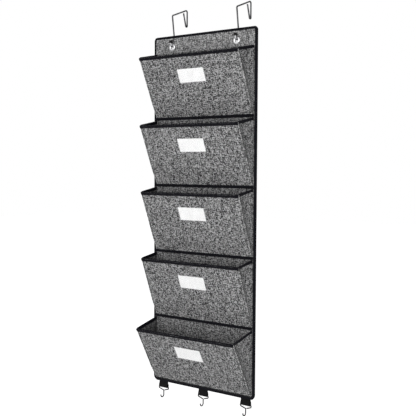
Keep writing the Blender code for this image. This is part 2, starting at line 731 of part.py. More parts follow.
def main():
    clear_scene()
    materials = {
        "tweed": make_material("charcoal_tweed", (0.165, 0.165, 0.168), 0.95),
        "lining": make_material("black_lining", (0.020, 0.020, 0.022), 0.90),
        "board": make_material("grey_board", (0.300, 0.280, 0.250), 0.90),
        "tape": make_material("black_binding_tape", (0.008, 0.008, 0.010), 0.80),
        "webbing": make_material("black_webbing", (0.012, 0.012, 0.012), 0.75),
        "chrome": make_material("bright_wire", (0.620, 0.620, 0.640), 0.18, 1.0),
        "plastic": make_material("black_cap_plastic", (0.010, 0.010, 0.010), 0.35),
        "card": make_material("white_card", (0.850, 0.850, 0.850), 0.70),
        "window": make_material("clear_window", (0.900, 0.900, 0.900), 0.08, 0.0, 0.35),
    }
    make_panel(materials)
    make_panel_binding(materials["tape"])
    make_seam_strips(materials["tape"])
    make_grommets(materials["chrome"])
    make_pockets(materials)
    make_over_door_hooks(materials)
    for side_name, side in LOOP_SIDES:
        make_webbing_loop(side_name, side, materials["webbing"])
        make_key_hook(side_name, side, materials["chrome"])


main()
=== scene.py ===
# %% [markdown]
# # An over-the-door file organizer
# A stiff cloth panel hangs from two wire hooks and carries five open file pockets, with three key
# hooks along its lower edge. The solids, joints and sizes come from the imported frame. Every cell
# below dresses one kind of piece, says what it is on the real object, and says why it is made so.

# %% Load the frame
import math

import bmesh
import bpy
from mathutils import Matrix, Vector, noise
from mathutils.geometry import delaunay_2d_cdt


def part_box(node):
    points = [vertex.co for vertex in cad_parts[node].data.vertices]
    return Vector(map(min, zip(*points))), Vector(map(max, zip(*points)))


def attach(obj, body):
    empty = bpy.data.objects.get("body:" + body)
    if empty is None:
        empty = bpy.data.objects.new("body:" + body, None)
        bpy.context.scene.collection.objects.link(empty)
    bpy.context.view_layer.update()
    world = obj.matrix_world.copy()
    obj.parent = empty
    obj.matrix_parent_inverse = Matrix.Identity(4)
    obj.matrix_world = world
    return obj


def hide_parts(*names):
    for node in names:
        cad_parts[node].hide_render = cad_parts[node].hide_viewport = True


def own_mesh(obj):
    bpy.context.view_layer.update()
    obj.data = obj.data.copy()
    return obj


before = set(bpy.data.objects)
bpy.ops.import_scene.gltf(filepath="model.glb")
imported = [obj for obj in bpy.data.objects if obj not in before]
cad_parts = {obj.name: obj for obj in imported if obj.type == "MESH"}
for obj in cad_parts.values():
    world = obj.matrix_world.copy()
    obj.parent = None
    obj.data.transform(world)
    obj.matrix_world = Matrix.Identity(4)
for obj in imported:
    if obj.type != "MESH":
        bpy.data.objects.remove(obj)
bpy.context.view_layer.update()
scene = bpy.context.scene

# %% [markdown]
# ## Sizes
# The frame's solids were cut to these sizes, in metres. A real maker's pattern sheet would list the
# same ones: the panel, the pocket pitch, the fold of each front, the tapes and the cloth.

# %% Pattern sheet
SEAT_GAP = 0.0003
SEAM_GAP = 0.0004
FACE_CLOTH = 0.0009
TAPE = 0.0008
TAPE_WIDTH = 0.0078
PANEL_WIDTH = 0.335
PANEL_HEIGHT = 0.940
PANEL_TOP = 0.031
PANEL_BOTTOM = PANEL_TOP - PANEL_HEIGHT
HEADER_HEIGHT = 0.046
TOP_CORNER = 0.010
BOTTOM_CORNER = 0.014
FACE_FRONT = -0.0041
TAPE_FRONT = -0.0052
TAPE_BACK = 0.0011
POCKET_DEPTHS = {1: 0.070, 2: 0.067, 3: 0.062, 4: 0.060, 5: 0.080}
POCKETS = tuple(POCKET_DEPTHS)
POCKET_PITCH = (PANEL_HEIGHT - HEADER_HEIGHT) / 5
TONGUE = 0.0010
FRONT_HALF = PANEL_WIDTH / 2 - 0.009
FRONT_LENGTH = POCKET_PITCH - TAPE_WIDTH - SEAM_GAP - TONGUE / 2 - 0.001
FRONT_INNER = 0.0005
FOLD_Y = FACE_FRONT - 0.0005 - TONGUE / 2
SIDES = (("left", -1), ("right", 1))


def fold_height(pocket):
    """Height of the line on which a pocket's front folds."""
    return PANEL_TOP - HEADER_HEIGHT - pocket * POCKET_PITCH + TAPE_WIDTH + SEAM_GAP + TONGUE / 2


def fold_angle(pocket):
    """How far a pocket's front stands open."""
    return math.asin(POCKET_DEPTHS[pocket] / FRONT_LENGTH)


def on_front(pocket):
    """The matrix that takes a point of an upright front to its open place."""
    place = Vector((0.0, FOLD_Y, fold_height(pocket)))
    return Matrix.Translation(place) @ Matrix.Rotation(fold_angle(pocket), 4, "X")


for pocket in POCKETS:
    top = on_front(pocket) @ Vector((0.0, 0.0, FRONT_LENGTH))
    solid_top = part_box(f"pocket_{pocket}_rim_binding")[1].z
    print(f"pocket {pocket}: fold at {fold_height(pocket):.4f}, top at {top.z:.4f}, solid's {solid_top:.4f}")

# %% [markdown]
# ## Camera
# The photograph looks at the organizer from its right front, a little from above, at about two
# metres. These values come from fitting the panel's corners, the rims and the seams to it.

# %% Camera
CAMERA_PLACE = Vector((1.2467, -1.6475, -0.3208))
CAMERA_LENS = 68.13
CAMERA_SENSOR = 36.0
turn, tip, roll = (math.radians(angle) for angle in (36.791, 2.923, 0.327))
back = Vector((math.sin(turn) * math.cos(tip), -math.cos(turn) * math.cos(tip), math.sin(tip)))
level = (-back).cross(Vector((0, 0, 1))).normalized()
upward = level.cross(-back)
right = level * math.cos(roll) + upward * math.sin(roll)
upright = upward * math.cos(roll) - level * math.sin(roll)
camera_data = bpy.data.cameras.new("studio_camera")
camera_data.sensor_width = CAMERA_SENSOR
camera_data.lens = CAMERA_LENS
camera = bpy.data.objects.new("studio_camera", camera_data)
scene.collection.objects.link(camera)
turned = Matrix((right, upright, back)).transposed().to_4x4()
camera.matrix_world = Matrix.Translation(CAMERA_PLACE) @ turned
scene.camera = camera
scene.view_settings.view_transform = "Standard"
print("camera stands at", tuple(CAMERA_PLACE))

# %% [markdown]
# ## A small hand for node trees
# Materials and Geometry Nodes are both trees of nodes. Writing each node out takes four lines, so
# this helper adds one, sets its plain values, and links what it is given.


# %% Node helper
class NodeHand:
    """Adds nodes to one tree and links them in a single call."""

    def __init__(self, tree):
        self.tree = tree

    def feed(self, node, socket, value):
        """Links another node's output to a socket, or sets a plain value on it."""
        if isinstance(value, bpy.types.NodeSocket):
            self.tree.links.new(value, node.inputs[socket])
        else:
            node.inputs[socket].default_value = value

    def add(self, kind, inputs=None, **settings):
        node = self.tree.nodes.new(kind)
        for name, value in settings.items():
            setattr(node, name, value)
        for socket, value in (inputs or {}).items():
            self.feed(node, socket, value)
        return node

    def calc(self, operation, *values):
        return self.add("ShaderNodeMath", dict(enumerate(values)), operation=operation).outputs[0]

    def times(self, first, second):
        return self.calc("MULTIPLY", first, second)

    def scaled(self, value, factor, offset):
        return self.calc("MULTIPLY_ADD", value, factor, offset)

    def remap(self, value, low, high, to_low=0.0, to_high=1.0):
        inputs = {"Value": value, "From Min": low, "From Max": high, "To Min": to_low, "To Max": to_high}
        return self.add("ShaderNodeMapRange", inputs).outputs[0]

    def noise(self, vector, scale, detail=2.0, rough=0.5):
        inputs = {"Vector": vector, "Scale": scale, "Detail": detail, "Roughness": rough}
        return self.add("ShaderNodeTexNoise", inputs).outputs["Fac"]

    def ramp(self, value, stops):
        node = self.add("ShaderNodeValToRGB", {"Fac": value})
        for element, (place, shade) in zip(node.color_ramp.elements, stops):
            element.position = place
            element.color = (*shade, 1.0) if hasattr(shade, "__len__") else (shade, shade, shade, 1.0)
        return node.outputs["Color"]

    def mix(self, factor, first, second, blend="MIX"):
        inputs = {0: factor, 6: first, 7: second}
        return self.add("ShaderNodeMix", inputs, data_type="RGBA", blend_type=blend).outputs[2]

    def vector(self, *parts):
        return self.add("ShaderNodeCombineXYZ", dict(enumerate(parts))).outputs[0]

    def split(self, vector):
        return self.add("ShaderNodeSeparateXYZ", {0: vector}).outputs

    def cloth_map(self):
        return self.add("ShaderNodeUVMap", uv_map="cloth").outputs[0]

    def object_place(self):
        return self.add("ShaderNodeTexCoord").outputs["Object"]

    def face_mark(self, label):
        return self.add("ShaderNodeAttribute", attribute_name=label).outputs["Fac"]


def new_tree(name, kind, sockets_in, sockets_out):
    """A node group with named inputs and outputs, a hand to fill it, its start and its end."""
    tree = bpy.data.node_groups.new(name, kind + "NodeTree")
    for label, socket_kind, value in sockets_in:
        socket = tree.interface.new_socket(label, in_out="INPUT", socket_type="NodeSocket" + socket_kind)
        if value is not None:
            socket.default_value = value
    for label, socket_kind in sockets_out:
        tree.interface.new_socket(label, in_out="OUTPUT", socket_type="NodeSocket" + socket_kind)
    hand = NodeHand(tree)
    return tree, hand, hand.add("NodeGroupInput").outputs, hand.add("NodeGroupOutput")


# %% [markdown]
# ## Tweed
# The face cloth is a plain weave of thick yarns spun from black and white fibre. Each yarn is dark
# in one place and light a little further on, so the cloth looks speckled from a step away. An image
# of cloth would blur or repeat, so this group crosses two families of yarns: it finds which yarn is
# on top and reads a noise that runs along that yarn. It reads metres from the piece's own map, so
# the yarns follow the cloth round every fold.

# %% Tweed: the yarns
ROW_JUMP = 1.9
tweed_group, hand, start, end = new_tree(
    "heather_weave",
    "Shader",
    (
        ("Place", "Vector", None),
        ("Yarn", "Float", 0.0015),
        ("Slub", "Float", 95.0),
        ("Dark", "Color", (0.025, 0.025, 0.026, 1.0)),
        ("Middle", "Color", (0.15, 0.15, 0.151, 1.0)),
        ("Light", "Color", (0.60, 0.60, 0.605, 1.0)),
        # Painted shade: above zero it darkens the cloth, below zero it paints light.
        ("Reverse", "Float", 0.0),
    ),
    (("Color", "Color"), ("Height", "Float"), ("Rough", "Float")),
)
place = hand.split(start["Place"])
across = hand.calc("DIVIDE", place[0], start["Yarn"])
along = hand.calc("DIVIDE", place[1], start["Yarn"])
column, row = hand.calc("FLOOR", across), hand.calc("FLOOR", along)
parity = hand.calc("PINGPONG", hand.calc("ADD", column, row), 1.0)
weft_place = hand.vector(hand.times(place[0], start["Slub"]), hand.times(row, ROW_JUMP), 1.7)
warp_place = hand.vector(hand.scaled(column, ROW_JUMP, 51.0), hand.times(place[1], start["Slub"]), 9.3)
top_yarn = hand.mix(parity, hand.noise(weft_place, 1.0, 1.0), hand.noise(warp_place, 1.0, 1.0))

# %% [markdown]
# Real yarns also have thick dark and light runs, called slubs, that last for a centimetre, and loose
# flecks of fibre. The shade adds these layers by weight, and then picks a colour between the cloth's
# dark, middle and light ones. Where a face carries painted shade or painted light, as inside the
# pockets, the contrast is calmer and faint upright streaks show.

# %% Tweed: the shade
SLUB_LONG, SLUB_THIN = 105.0, 470.0
FLECK = 400.0


def run_noise(across_scale, along_scale, seed, detail=1.0):
    """A noise on the cloth that is stretched along one of its two ways."""
    x, y = hand.times(place[0], across_scale), hand.times(place[1], along_scale)
    return hand.noise(hand.vector(x, y, seed), 1.0, detail)


shade = 0.5
for layer, weight in (
    (top_yarn, 1.35),
    (run_noise(SLUB_LONG, SLUB_THIN, 3.1), 1.2),
    (run_noise(SLUB_THIN, SLUB_LONG, 6.7), 1.05),
    (hand.noise(start["Place"], FLECK, 1.0), 1.75),
):
    shade = hand.scaled(hand.calc("SUBTRACT", layer, 0.5), weight, shade)
cloth_color = hand.mix(hand.remap(shade, 0.30, 0.52), start["Dark"], start["Middle"])
cloth_color = hand.mix(hand.remap(shade, 0.50, 0.78), cloth_color, start["Light"])
streak = hand.remap(run_noise(170.0, 14.0, 4.4, 2.0), 0.3, 0.7, 0.15, 0.31)
# Painted shade and painted light calm the contrast and bring in upright streaks.
calm = hand.remap(hand.calc("ABSOLUTE", start["Reverse"]), 0.0, 0.6, 0.0, 0.35)
cloth_color = hand.mix(calm, cloth_color, hand.vector(streak, streak, streak))

# %% [markdown]
# Each yarn has a round back, which gives the bump its height, and painted shade darkens the grooves
# between yarns. The share of painted shade, written on a piece's faces, darkens the cloth, and where
# it is below zero it paints light.

# %% Tweed: the height, painted shade and painted light
weft_round = hand.calc("SINE", hand.times(hand.calc("FRACT", along), math.pi))
warp_round = hand.calc("SINE", hand.times(hand.calc("FRACT", across), math.pi))
yarn_height = hand.mix(parity, weft_round, warp_round)
fibre = hand.noise(start["Place"], 2600.0, 1.0)
# Painted shade in the grooves between the yarns.
painted_groove_shade = hand.scaled(hand.calc("SUBTRACT", yarn_height, 1.0), 0.45, 1.0)
ribbing = hand.calc("SINE", hand.times(across, math.pi / 2))
# Painted shade darkens the cloth; below zero it paints light.
painted_shade_tone = hand.scaled(start["Reverse"], hand.scaled(ribbing, 0.06, -0.82), 1.0)
tone = hand.times(painted_groove_shade, painted_shade_tone)
hand.feed(end, "Color", hand.mix(1.0, cloth_color, hand.vector(tone, tone, tone), "MULTIPLY"))
hand.feed(end, "Height", hand.scaled(fibre, 0.35, yarn_height))
hand.feed(end, "Rough", hand.scaled(fibre, 0.12, 0.84))
print("tweed group has", len(tweed_group.nodes), "nodes")

# %% [markdown]
# ## Ribs, dust, scratches and painted reflections
# Tape, webbing and lining are woven in ribs, and all three pick up lint. The wires carry faint drawn
# lines and smudges, and a tone that paints their reflections. Each of these is a group, because more
# than one material uses it.

# %% Rib, lint and scratch groups
CROSS_RIB = 0.0011
rib_group, hand, start, end = new_tree(
    "woven_ribs",
    "Shader",
    (("Place", "Vector", None), ("Rib", "Float", 0.0009), ("Herringbone", "Float", 0.0)),
    (("Height", "Float"), ("Mask", "Float")),
)
place = hand.split(start["Place"])
slant = hand.calc("PINGPONG", place[1], 0.0036)
run = hand.scaled(slant, start["Herringbone"], place[0])
wave = hand.calc("SINE", hand.times(hand.calc("DIVIDE", run, start["Rib"]), 2 * math.pi))
cross = hand.calc("SINE", hand.times(place[1], 2 * math.pi / CROSS_RIB))
hand.feed(end, "Height", hand.scaled(cross, 0.3, wave))
hand.feed(end, "Mask", hand.scaled(wave, 0.5, 0.5))

lint_group, hand, start, end = new_tree(
    "lint_and_wear",
    "Shader",
    (("Place", "Vector", None), ("Clean", "Color", None), ("Lint", "Color", None), ("Amount", "Float", 0.3)),
    (("Color", "Color"),),
)
specks = hand.remap(hand.noise(start["Place"], 900.0, 3.0, 0.7), 0.60, 0.78)
clouds = hand.remap(hand.noise(start["Place"], 24.0, 3.0, 0.6), 0.35, 0.75)
lint_mask = hand.times(hand.times(specks, clouds), start["Amount"])
hand.feed(end, "Color", hand.mix(lint_mask, start["Clean"], start["Lint"]))

scratch_and_reflection_group, hand, start, end = new_tree(
    "drawn_wire_and_reflection",
    "Shader",
    (("Place", "Vector", None), ("Base", "Float", 0.18), ("Spread", "Float", 0.14)),
    (("Rough", "Float"), ("Height", "Float"), ("Painted reflection", "Float")),
)
# The same noise gives the smudges' roughness and the painted reflection's tone.
smudge_and_reflection = hand.noise(start["Place"], 60.0, 3.0, 0.6)
hand.feed(end, "Rough", hand.scaled(smudge_and_reflection, start["Spread"], start["Base"]))
hand.feed(end, "Height", hand.noise(start["Place"], 1900.0, 2.0, 0.6))
hand.feed(end, "Painted reflection", smudge_and_reflection)

# %% [markdown]
# ## Materials
# Each finish is one Principled shader. The groups feed its colour, roughness and bump, and whatever
# is the same all over stays on the shader's own socket, which is what an exported model keeps. The
# door hooks' wire gets a painted highlight where a face carries that mark.


# %% Material helpers
# A painted highlight on the door hooks' wire in front of the panel.
PAINTED_HIGHLIGHT = (0.30, 0.30, 0.31, 1.0)


def new_material(name, rough=0.8, metallic=0.0, gloss=0.5):
    """A material with its plain values, a hand for its tree, and its shader."""
    material = bpy.data.materials.new(name)
    material.use_nodes = True
    shader = material.node_tree.nodes["Principled BSDF"]
    for label, value in (("Roughness", rough), ("Metallic", metallic), ("Specular IOR Level", gloss)):
        shader.inputs[label].default_value = value
    return material, NodeHand(material.node_tree), shader


def bump(hand, shader, height, distance, strength):
    node = hand.add("ShaderNodeBump", {"Height": height, "Distance": distance, "Strength": strength})
    hand.feed(shader, "Normal", node.outputs[0])


def ribbed_material(name, colour, lint, rib, herringbone, rough, amount):
    """Woven tape, strap or lining: its ribs, and the lint that has settled on it."""
    material, hand, shader = new_material(name, rough, gloss=0.05)
    place = hand.cloth_map()
    inputs = {"Place": place, "Rib": rib, "Herringbone": herringbone}
    ribs = hand.add("ShaderNodeGroup", inputs, node_tree=rib_group).outputs
    stops = ((0.0, [part * 0.55 for part in colour]), (1.0, [part * 1.35 for part in colour]))
    clean = hand.ramp(ribs["Mask"], stops)
    inputs = {"Place": place, "Clean": clean, "Lint": (lint, lint, lint, 1.0), "Amount": amount}
    worn = hand.add("ShaderNodeGroup", inputs, node_tree=lint_group)
    hand.feed(shader, "Base Color", worn.outputs["Color"])
    bump(hand, shader, ribs["Height"], 0.00012, 0.7)
    return material


def metal_material(name, dark, light, base, spread, edge=1.0):
    """Drawn wire or pressed sheet, with smudges, and a painted reflection between a dark and a light tone."""
    material, hand, shader = new_material(name, 0.2, metallic=1.0)
    shader.inputs["Specular Tint"].default_value = (edge, edge, edge, 1.0)
    inputs = {"Place": hand.object_place(), "Base": base, "Spread": spread}
    wire = hand.add("ShaderNodeGroup", inputs, node_tree=scratch_and_reflection_group).outputs
    painted_reflection = hand.ramp(wire["Painted reflection"], ((0.3, dark), (0.7, light)))
    # A painted highlight where a face carries the mark.
    hand.feed(shader, "Base Color", hand.mix(hand.face_mark("painted_highlight"), painted_reflection, PAINTED_HIGHLIGHT))
    hand.feed(shader, "Roughness", wire["Rough"])
    bump(hand, shader, wire["Height"], 0.00003, 0.5)
    return material


def grained_material(name, rough, gloss, grain, low, high, depth, strength=0.5, swing=0.0):
    """A finish with one fine grain (scale, detail, roughness) between a low and a high shade."""
    material, hand, shader = new_material(name, rough, gloss=gloss)
    speckle = hand.noise(hand.object_place(), *grain)
    hand.feed(shader, "Base Color", hand.ramp(speckle, (low, high)))
    if swing:
        hand.feed(shader, "Roughness", hand.scaled(speckle, swing, rough - swing / 2))
    bump(hand, shader, speckle, depth, strength)
    return material


# %% [markdown]
# ## Finishes
# With the helpers, a finish is one line of a maker's card: its shades, the size of its ribs or its
# grain, and its lint. The tweed and the clear holders have trees of their own. The holders are thin
# clear plastic, so they are nearly all alpha, with smears where fingers push a card in.

# %% Finishes
tweed, hand, shader = new_material("charcoal_tweed", gloss=0.15)
# The faces' painted shade and painted light feed the weave.
inputs = {"Place": hand.cloth_map(), "Reverse": hand.face_mark("painted_shade")}
weave = hand.add("ShaderNodeGroup", inputs, node_tree=tweed_group).outputs
hand.feed(shader, "Base Color", weave["Color"])
hand.feed(shader, "Roughness", weave["Rough"])
bump(hand, shader, weave["Height"], 0.00025, 0.8)

clear_window, hand, shader = new_material("clear_window", 0.12)
smear = hand.noise(hand.object_place(), 45.0, 3.0, 0.6)
shader.inputs["Base Color"].default_value = (0.9, 0.9, 0.9, 1.0)
hand.feed(shader, "Alpha", hand.scaled(smear, 0.12, 0.03))
hand.feed(shader, "Roughness", hand.scaled(smear, 0.2, 0.06))
bump(hand, shader, smear, 0.0002, 0.3)

binding_tape = ribbed_material("black_binding_tape", (0.0055, 0.0055, 0.0080), 0.06, 0.0009, 0.0, 0.72, 0.25)
black_webbing = ribbed_material("black_webbing", (0.0085, 0.0085, 0.0088), 0.08, 0.0016, 0.9, 0.7, 0.3)
lining_black = ribbed_material("black_lining", (0.032, 0.032, 0.034), 0.24, 0.0007, 0.0, 0.9, 0.9)
# The wires' dark tones paint the darker reflections of a room.
bright_wire = metal_material("bright_wire", (0.006, 0.006, 0.007), (0.11, 0.11, 0.115), 0.26, 0.16)
bright_eyelet = metal_material("bright_eyelet", (0.58, 0.58, 0.59), (0.76, 0.76, 0.77), 0.32, 0.14)
key_wire_metal = metal_material(
    "bright_key_wire", (0.003, 0.003, 0.0035), (0.06, 0.06, 0.063), 0.22, 0.16, edge=0.25
)

PULP = ((0.3, (0.22, 0.20, 0.17)), (0.7, (0.36, 0.34, 0.30)))
grey_board = grained_material("grey_board", 0.9, 0.5, (700.0, 4.0, 0.7), *PULP, 0.0001)
cap_plastic = grained_material(
    "black_cap_plastic", 0.6, 0.2, (1400.0, 3.0, 0.6), (0.3, 0.002), (0.7, 0.006), 0.00004, swing=0.2
)
white_card = grained_material("white_card", 0.6, 0.5, (900.0, 4.0, 0.7), (0.2, 0.98), (0.8, 1.0), 0.00004)
thread = grained_material(
    "black_thread", 0.6, 0.2, (2200.0, 2.0, 0.6), (0.3, 0.010), (0.7, 0.035), 0.00005, strength=0.6
)
print("finishes:", ", ".join(sorted(material.name for material in bpy.data.materials)))

# %% [markdown]
# ## Making pieces
# Cloth is made here from grids whose points a short function places, with a map in metres that the
# weave reads. One layer of cloth gets its thickness from Solidify, which is then applied, because a
# finished piece is a plain mesh. Sweeps and turned rings are grids too, closed on themselves.


# %% Piece helpers
def piece_from(name, points, faces, material, cloth_map=None, sharp=None):
    """A mesh piece from points and faces, its faces turned outwards, with a cloth map in metres."""
    mesh = bpy.data.meshes.new(name)
    mesh.from_pydata([tuple(point) for point in points], [], faces)
    bm = bmesh.new()
    bm.from_mesh(mesh)
    if cloth_map is not None:
        layer = bm.loops.layers.uv.new("cloth")
        for face in bm.faces:
            for loop in face.loops:
                loop[layer].uv = cloth_map[loop.vert.index]
    bmesh.ops.recalc_face_normals(bm, faces=bm.faces)
    bm.to_mesh(mesh)
    bm.free()
    mesh.shade_smooth()
    if sharp is not None:
        mesh.set_sharp_from_angle(angle=math.radians(sharp))
    mesh.materials.append(material)
    piece = bpy.data.objects.new(name, mesh)
    scene.collection.objects.link(piece)
    return piece


def settle(piece):
    """Applies a piece's modifiers, so that a plain mesh is left."""
    graph = bpy.context.evaluated_depsgraph_get()
    graph.update()
    mesh = bpy.data.meshes.new_from_object(piece.evaluated_get(graph), depsgraph=graph)
    old, name = piece.data, piece.data.name
    piece.modifiers.clear()
    piece.data = mesh
    bpy.data.meshes.remove(old)
    mesh.name = name
    return piece


def thicken(piece, thickness, offset=0.0):
    """Gives one layer of cloth its thickness and applies it."""
    wall = piece.modifiers.new("cloth_thickness", "SOLIDIFY")
    wall.thickness = thickness
    wall.offset = offset
    return settle(piece)


def mark_faces(piece, label, share):
    """Writes a share on each face, for its material to read."""
    marks = piece.data.attributes.new(label, "FLOAT", "FACE")
    for face in piece.data.polygons:
        marks.data[face.index].value = share(face)
    return piece


def grid_faces(rows, columns, close_rows=False, close_columns=False):
    """Quads of a grid whose points run along each row."""
    faces = []
    for row in range(rows if close_rows else rows - 1):
        for column in range(columns if close_columns else columns - 1):
            here, above = row * columns, (row + 1) % rows * columns
            beside = (column + 1) % columns
            faces.append((here + column, here + beside, above + beside, above + column))
    return faces


def sweep_faces(count, size):
    """The skin of a section of some points, swept through a count of places and closed at both ends."""
    ends = [tuple(range(size)), tuple(range((count - 1) * size, count * size))]
    return grid_faces(count, size, close_columns=True) + ends


def spread(low, high, count):
    """Evenly spaced values from low to high, both included."""
    return [low + (high - low) * index / (count - 1) for index in range(count)]


def ease(share):
    """A share from 0 to 1 that starts and ends gently."""
    return share * share * (3 - 2 * share)


def read_table(table, value):
    """Reads a smooth curve through a table of (place, value) pairs."""
    if value <= table[0][0]:
        return table[0][1]
    for (low, first), (high, second) in zip(table, table[1:]):
        if value <= high:
            return first + (second - first) * ease((value - low) / (high - low))
    return table[-1][1]


def ripple(x, z, length, seed):
    """A smooth random value from -1 to 1 that changes over a length."""
    return noise.noise(Vector((x / length, z / length, seed)))


# %% [markdown]
# ## Panel cloth and lining
# The tweed is stretched over a board and caught at every seam, so it swells by half a millimetre
# between the tapes and dips where a grommet clamps it. It is one grid with two round holes, cut to
# the panel's rounded outline, because a plain grid would leave stairs round the holes. The lining
# behind it is a flatter grid of the same kind.

# %% Outlines
CORNERS = ((1, 1), (-1, 1), (-1, -1), (1, -1))
EDGE = TAPE + SEAT_GAP
HOLE_RADIUS = 0.0057
HOLE_STEPS = 32
GROMMET_X = PANEL_WIDTH / 2 - 0.063
SEAMS = [PANEL_TOP] + [fold_height(pocket) - TONGUE / 2 - SEAM_GAP - TAPE_WIDTH / 2 for pocket in POCKETS]


def rounded(corner, steps):
    """An outline with four round corners, whose middles in X and Z and radii the corner function gives."""
    outline = []
    for quarter, (side_x, side_z) in enumerate(CORNERS):
        x, z, radius = corner(side_x, side_z)
        for step in range(steps + 1):
            angle = (quarter + step / steps) * math.pi / 2
            outline.append((x + math.cos(angle) * radius, z + math.sin(angle) * radius))
    return outline


def panel_outline(inset):
    """The panel's outline in X and Z, drawn in by an inset."""

    def corner(side_x, side_z):
        radius, edge_z = (TOP_CORNER, PANEL_TOP) if side_z > 0 else (BOTTOM_CORNER, PANEL_BOTTOM)
        return side_x * (PANEL_WIDTH / 2 - radius), edge_z - side_z * radius, radius - inset

    return rounded(corner, 8)


def from_grommet(x, z):
    """Distance of a place on the panel from the nearer grommet's middle."""
    return math.hypot(abs(x) - GROMMET_X, z)


# %% Panel cloth
SWELL = 0.0005
PANEL_STEP = 0.006
LINING_STEP = 0.010
LINING_CLOTH = 0.0005
LINING_MIDDLE = -0.0004
LINING_WAVE = 0.00015
# Painted light on the header, and painted shade on the panel below it, which shows inside the pockets.
HEADER_PAINTED_LIGHT = -0.40
PANEL_PAINTED_SHADE = 0.25


def panel_swell(x, z):
    """How far the face cloth stands proud between its seams."""
    near_seam = min(abs(z - seam) for seam in SEAMS)
    near_side = PANEL_WIDTH / 2 - abs(x)
    near_eyelet = max(0.0, from_grommet(x, z) - 0.010)
    rise = min(1.0, near_seam / 0.03) * min(1.0, near_side / 0.02) * min(1.0, near_eyelet / 0.012)
    return SWELL * rise * (1 + 0.6 * ripple(x, z, 0.045, 2.0))


def past_corner(x, z, margin):
    """Says whether a place is outside the panel's rounded corner, or nearer to it than a margin."""
    corner, edge_z = (TOP_CORNER, PANEL_TOP) if z > PANEL_BOTTOM / 2 else (BOTTOM_CORNER, PANEL_BOTTOM)
    off_x = abs(x) - (PANEL_WIDTH / 2 - corner)
    off_z = corner - abs(edge_z - z)
    return off_x > 0 and off_z > 0 and math.hypot(off_x, off_z) > corner - margin


def flat_cloth(name, step, thickness, depth_at, material):
    """Cloth in the panel's plane, cut to its outline and pierced at both grommets."""
    loops = [panel_outline(EDGE)]
    turns = [2 * math.pi * index / HOLE_STEPS for index in range(HOLE_STEPS)]
    for side in (1, -1):
        ring = [(HOLE_RADIUS * math.cos(turn), HOLE_RADIUS * math.sin(turn)) for turn in turns]
        loops.append([(side * GROMMET_X + x, z) for x, z in ring])
    points, edges = [], []
    for loop in loops:
        first, size = len(points), len(loop)
        points += [Vector(point) for point in loop]
        edges += [(first + index, first + (index + 1) % size) for index in range(size)]
    margin = EDGE + step / 2
    half = PANEL_WIDTH / 2 - margin
    rows = int((PANEL_HEIGHT - 2 * EDGE - step) / step)
    for x in spread(-half, half, int(2 * half / step)):
        for z in spread(PANEL_BOTTOM + margin, PANEL_TOP - margin, rows):
            if not past_corner(x, z, EDGE + step / 3) and from_grommet(x, z) > HOLE_RADIUS + step / 3:
                points.append(Vector((x, z)))
    flat, _, faces, _, _, _ = delaunay_2d_cdt(points, edges, [], 1, 1e-6)
    kept = []
    for face in faces:
        middle = sum((flat[index] for index in face), Vector((0, 0))) / len(face)
        if from_grommet(*middle) > HOLE_RADIUS * 0.98:
            kept.append(face)
    solid = [(x, depth_at(x, z), z) for x, z in flat]
    return thicken(piece_from(name, solid, kept, material, [tuple(point) for point in flat]), thickness)


def panel_depth(x, z):
    return FACE_FRONT + FACE_CLOTH / 2 - panel_swell(x, z)


def lining_depth(x, z):
    return LINING_MIDDLE + LINING_WAVE * ripple(x, z, 0.05, 7.0)


# Painted light on the header, painted shade everywhere below it.
def panel_light_and_shade(face):
    return HEADER_PAINTED_LIGHT if face.center.z > PANEL_TOP - HEADER_HEIGHT else PANEL_PAINTED_SHADE


panel_cloth = flat_cloth("panel_cloth", PANEL_STEP, FACE_CLOTH, panel_depth, tweed)
mark_faces(panel_cloth, "painted_shade", panel_light_and_shade)
panel_lining_cloth = flat_cloth("panel_lining_cloth", LINING_STEP, LINING_CLOTH, lining_depth, lining_black)
print("panel cloth has", len(panel_cloth.data.polygons), "faces")

# %% [markdown]
# ## Folded tape
# Every raw edge of the organizer is closed with the same tape, folded over it and sewn through. The
# tape is swept along stations. A station holds the crest of the fold, the way into the cloth, the
# way to the front, and how far the tape stands to each side, so one function makes the panel's
# binding, the rims and the gussets' edges. A curve with a bevel couldn't change its section.

# %% Folded tape
STITCH_PITCH = 0.0034
TAPE_STEP = 0.0017
SEAM_SHARE = 0.72
SEAM_REACH = 0.0007
SEAM_DIP = 0.00022
PUCKER = 0.00010
SIDE_TUCK = 0.0006


def folded_profile(near, far, width, pucker):
    """The tape's cross-section as (distance from the crest, offset to the front) pairs."""
    middle, radius = (near + far) / 2, (near - far) / 2
    seam, dip, inner = width * SEAM_SHARE, SEAM_DIP + pucker, (near - far) / 2 - TAPE
    points = [(width, near - TAPE * 0.3), (width * 0.93, near), (seam + SEAM_REACH, near)]
    points += [(seam, near - dip), (seam - SEAM_REACH, near)]
    for step in range(7):
        angle = math.pi / 2 - math.pi * step / 6
        points.append((radius * (1 - math.cos(angle)), middle + radius * math.sin(angle)))
    points += [(seam - SEAM_REACH, far), (seam, far + dip), (seam + SEAM_REACH, far)]
    points += [(width * 0.93, far), (width, far + TAPE * 0.3), (width, far + TAPE), (radius, far + TAPE)]
    for step in range(5):
        angle = -math.pi / 2 + math.pi * step / 4
        points.append((radius - inner * math.cos(angle), middle + inner * math.sin(angle)))
    return points + [(radius, near - TAPE), (width, near - TAPE)]


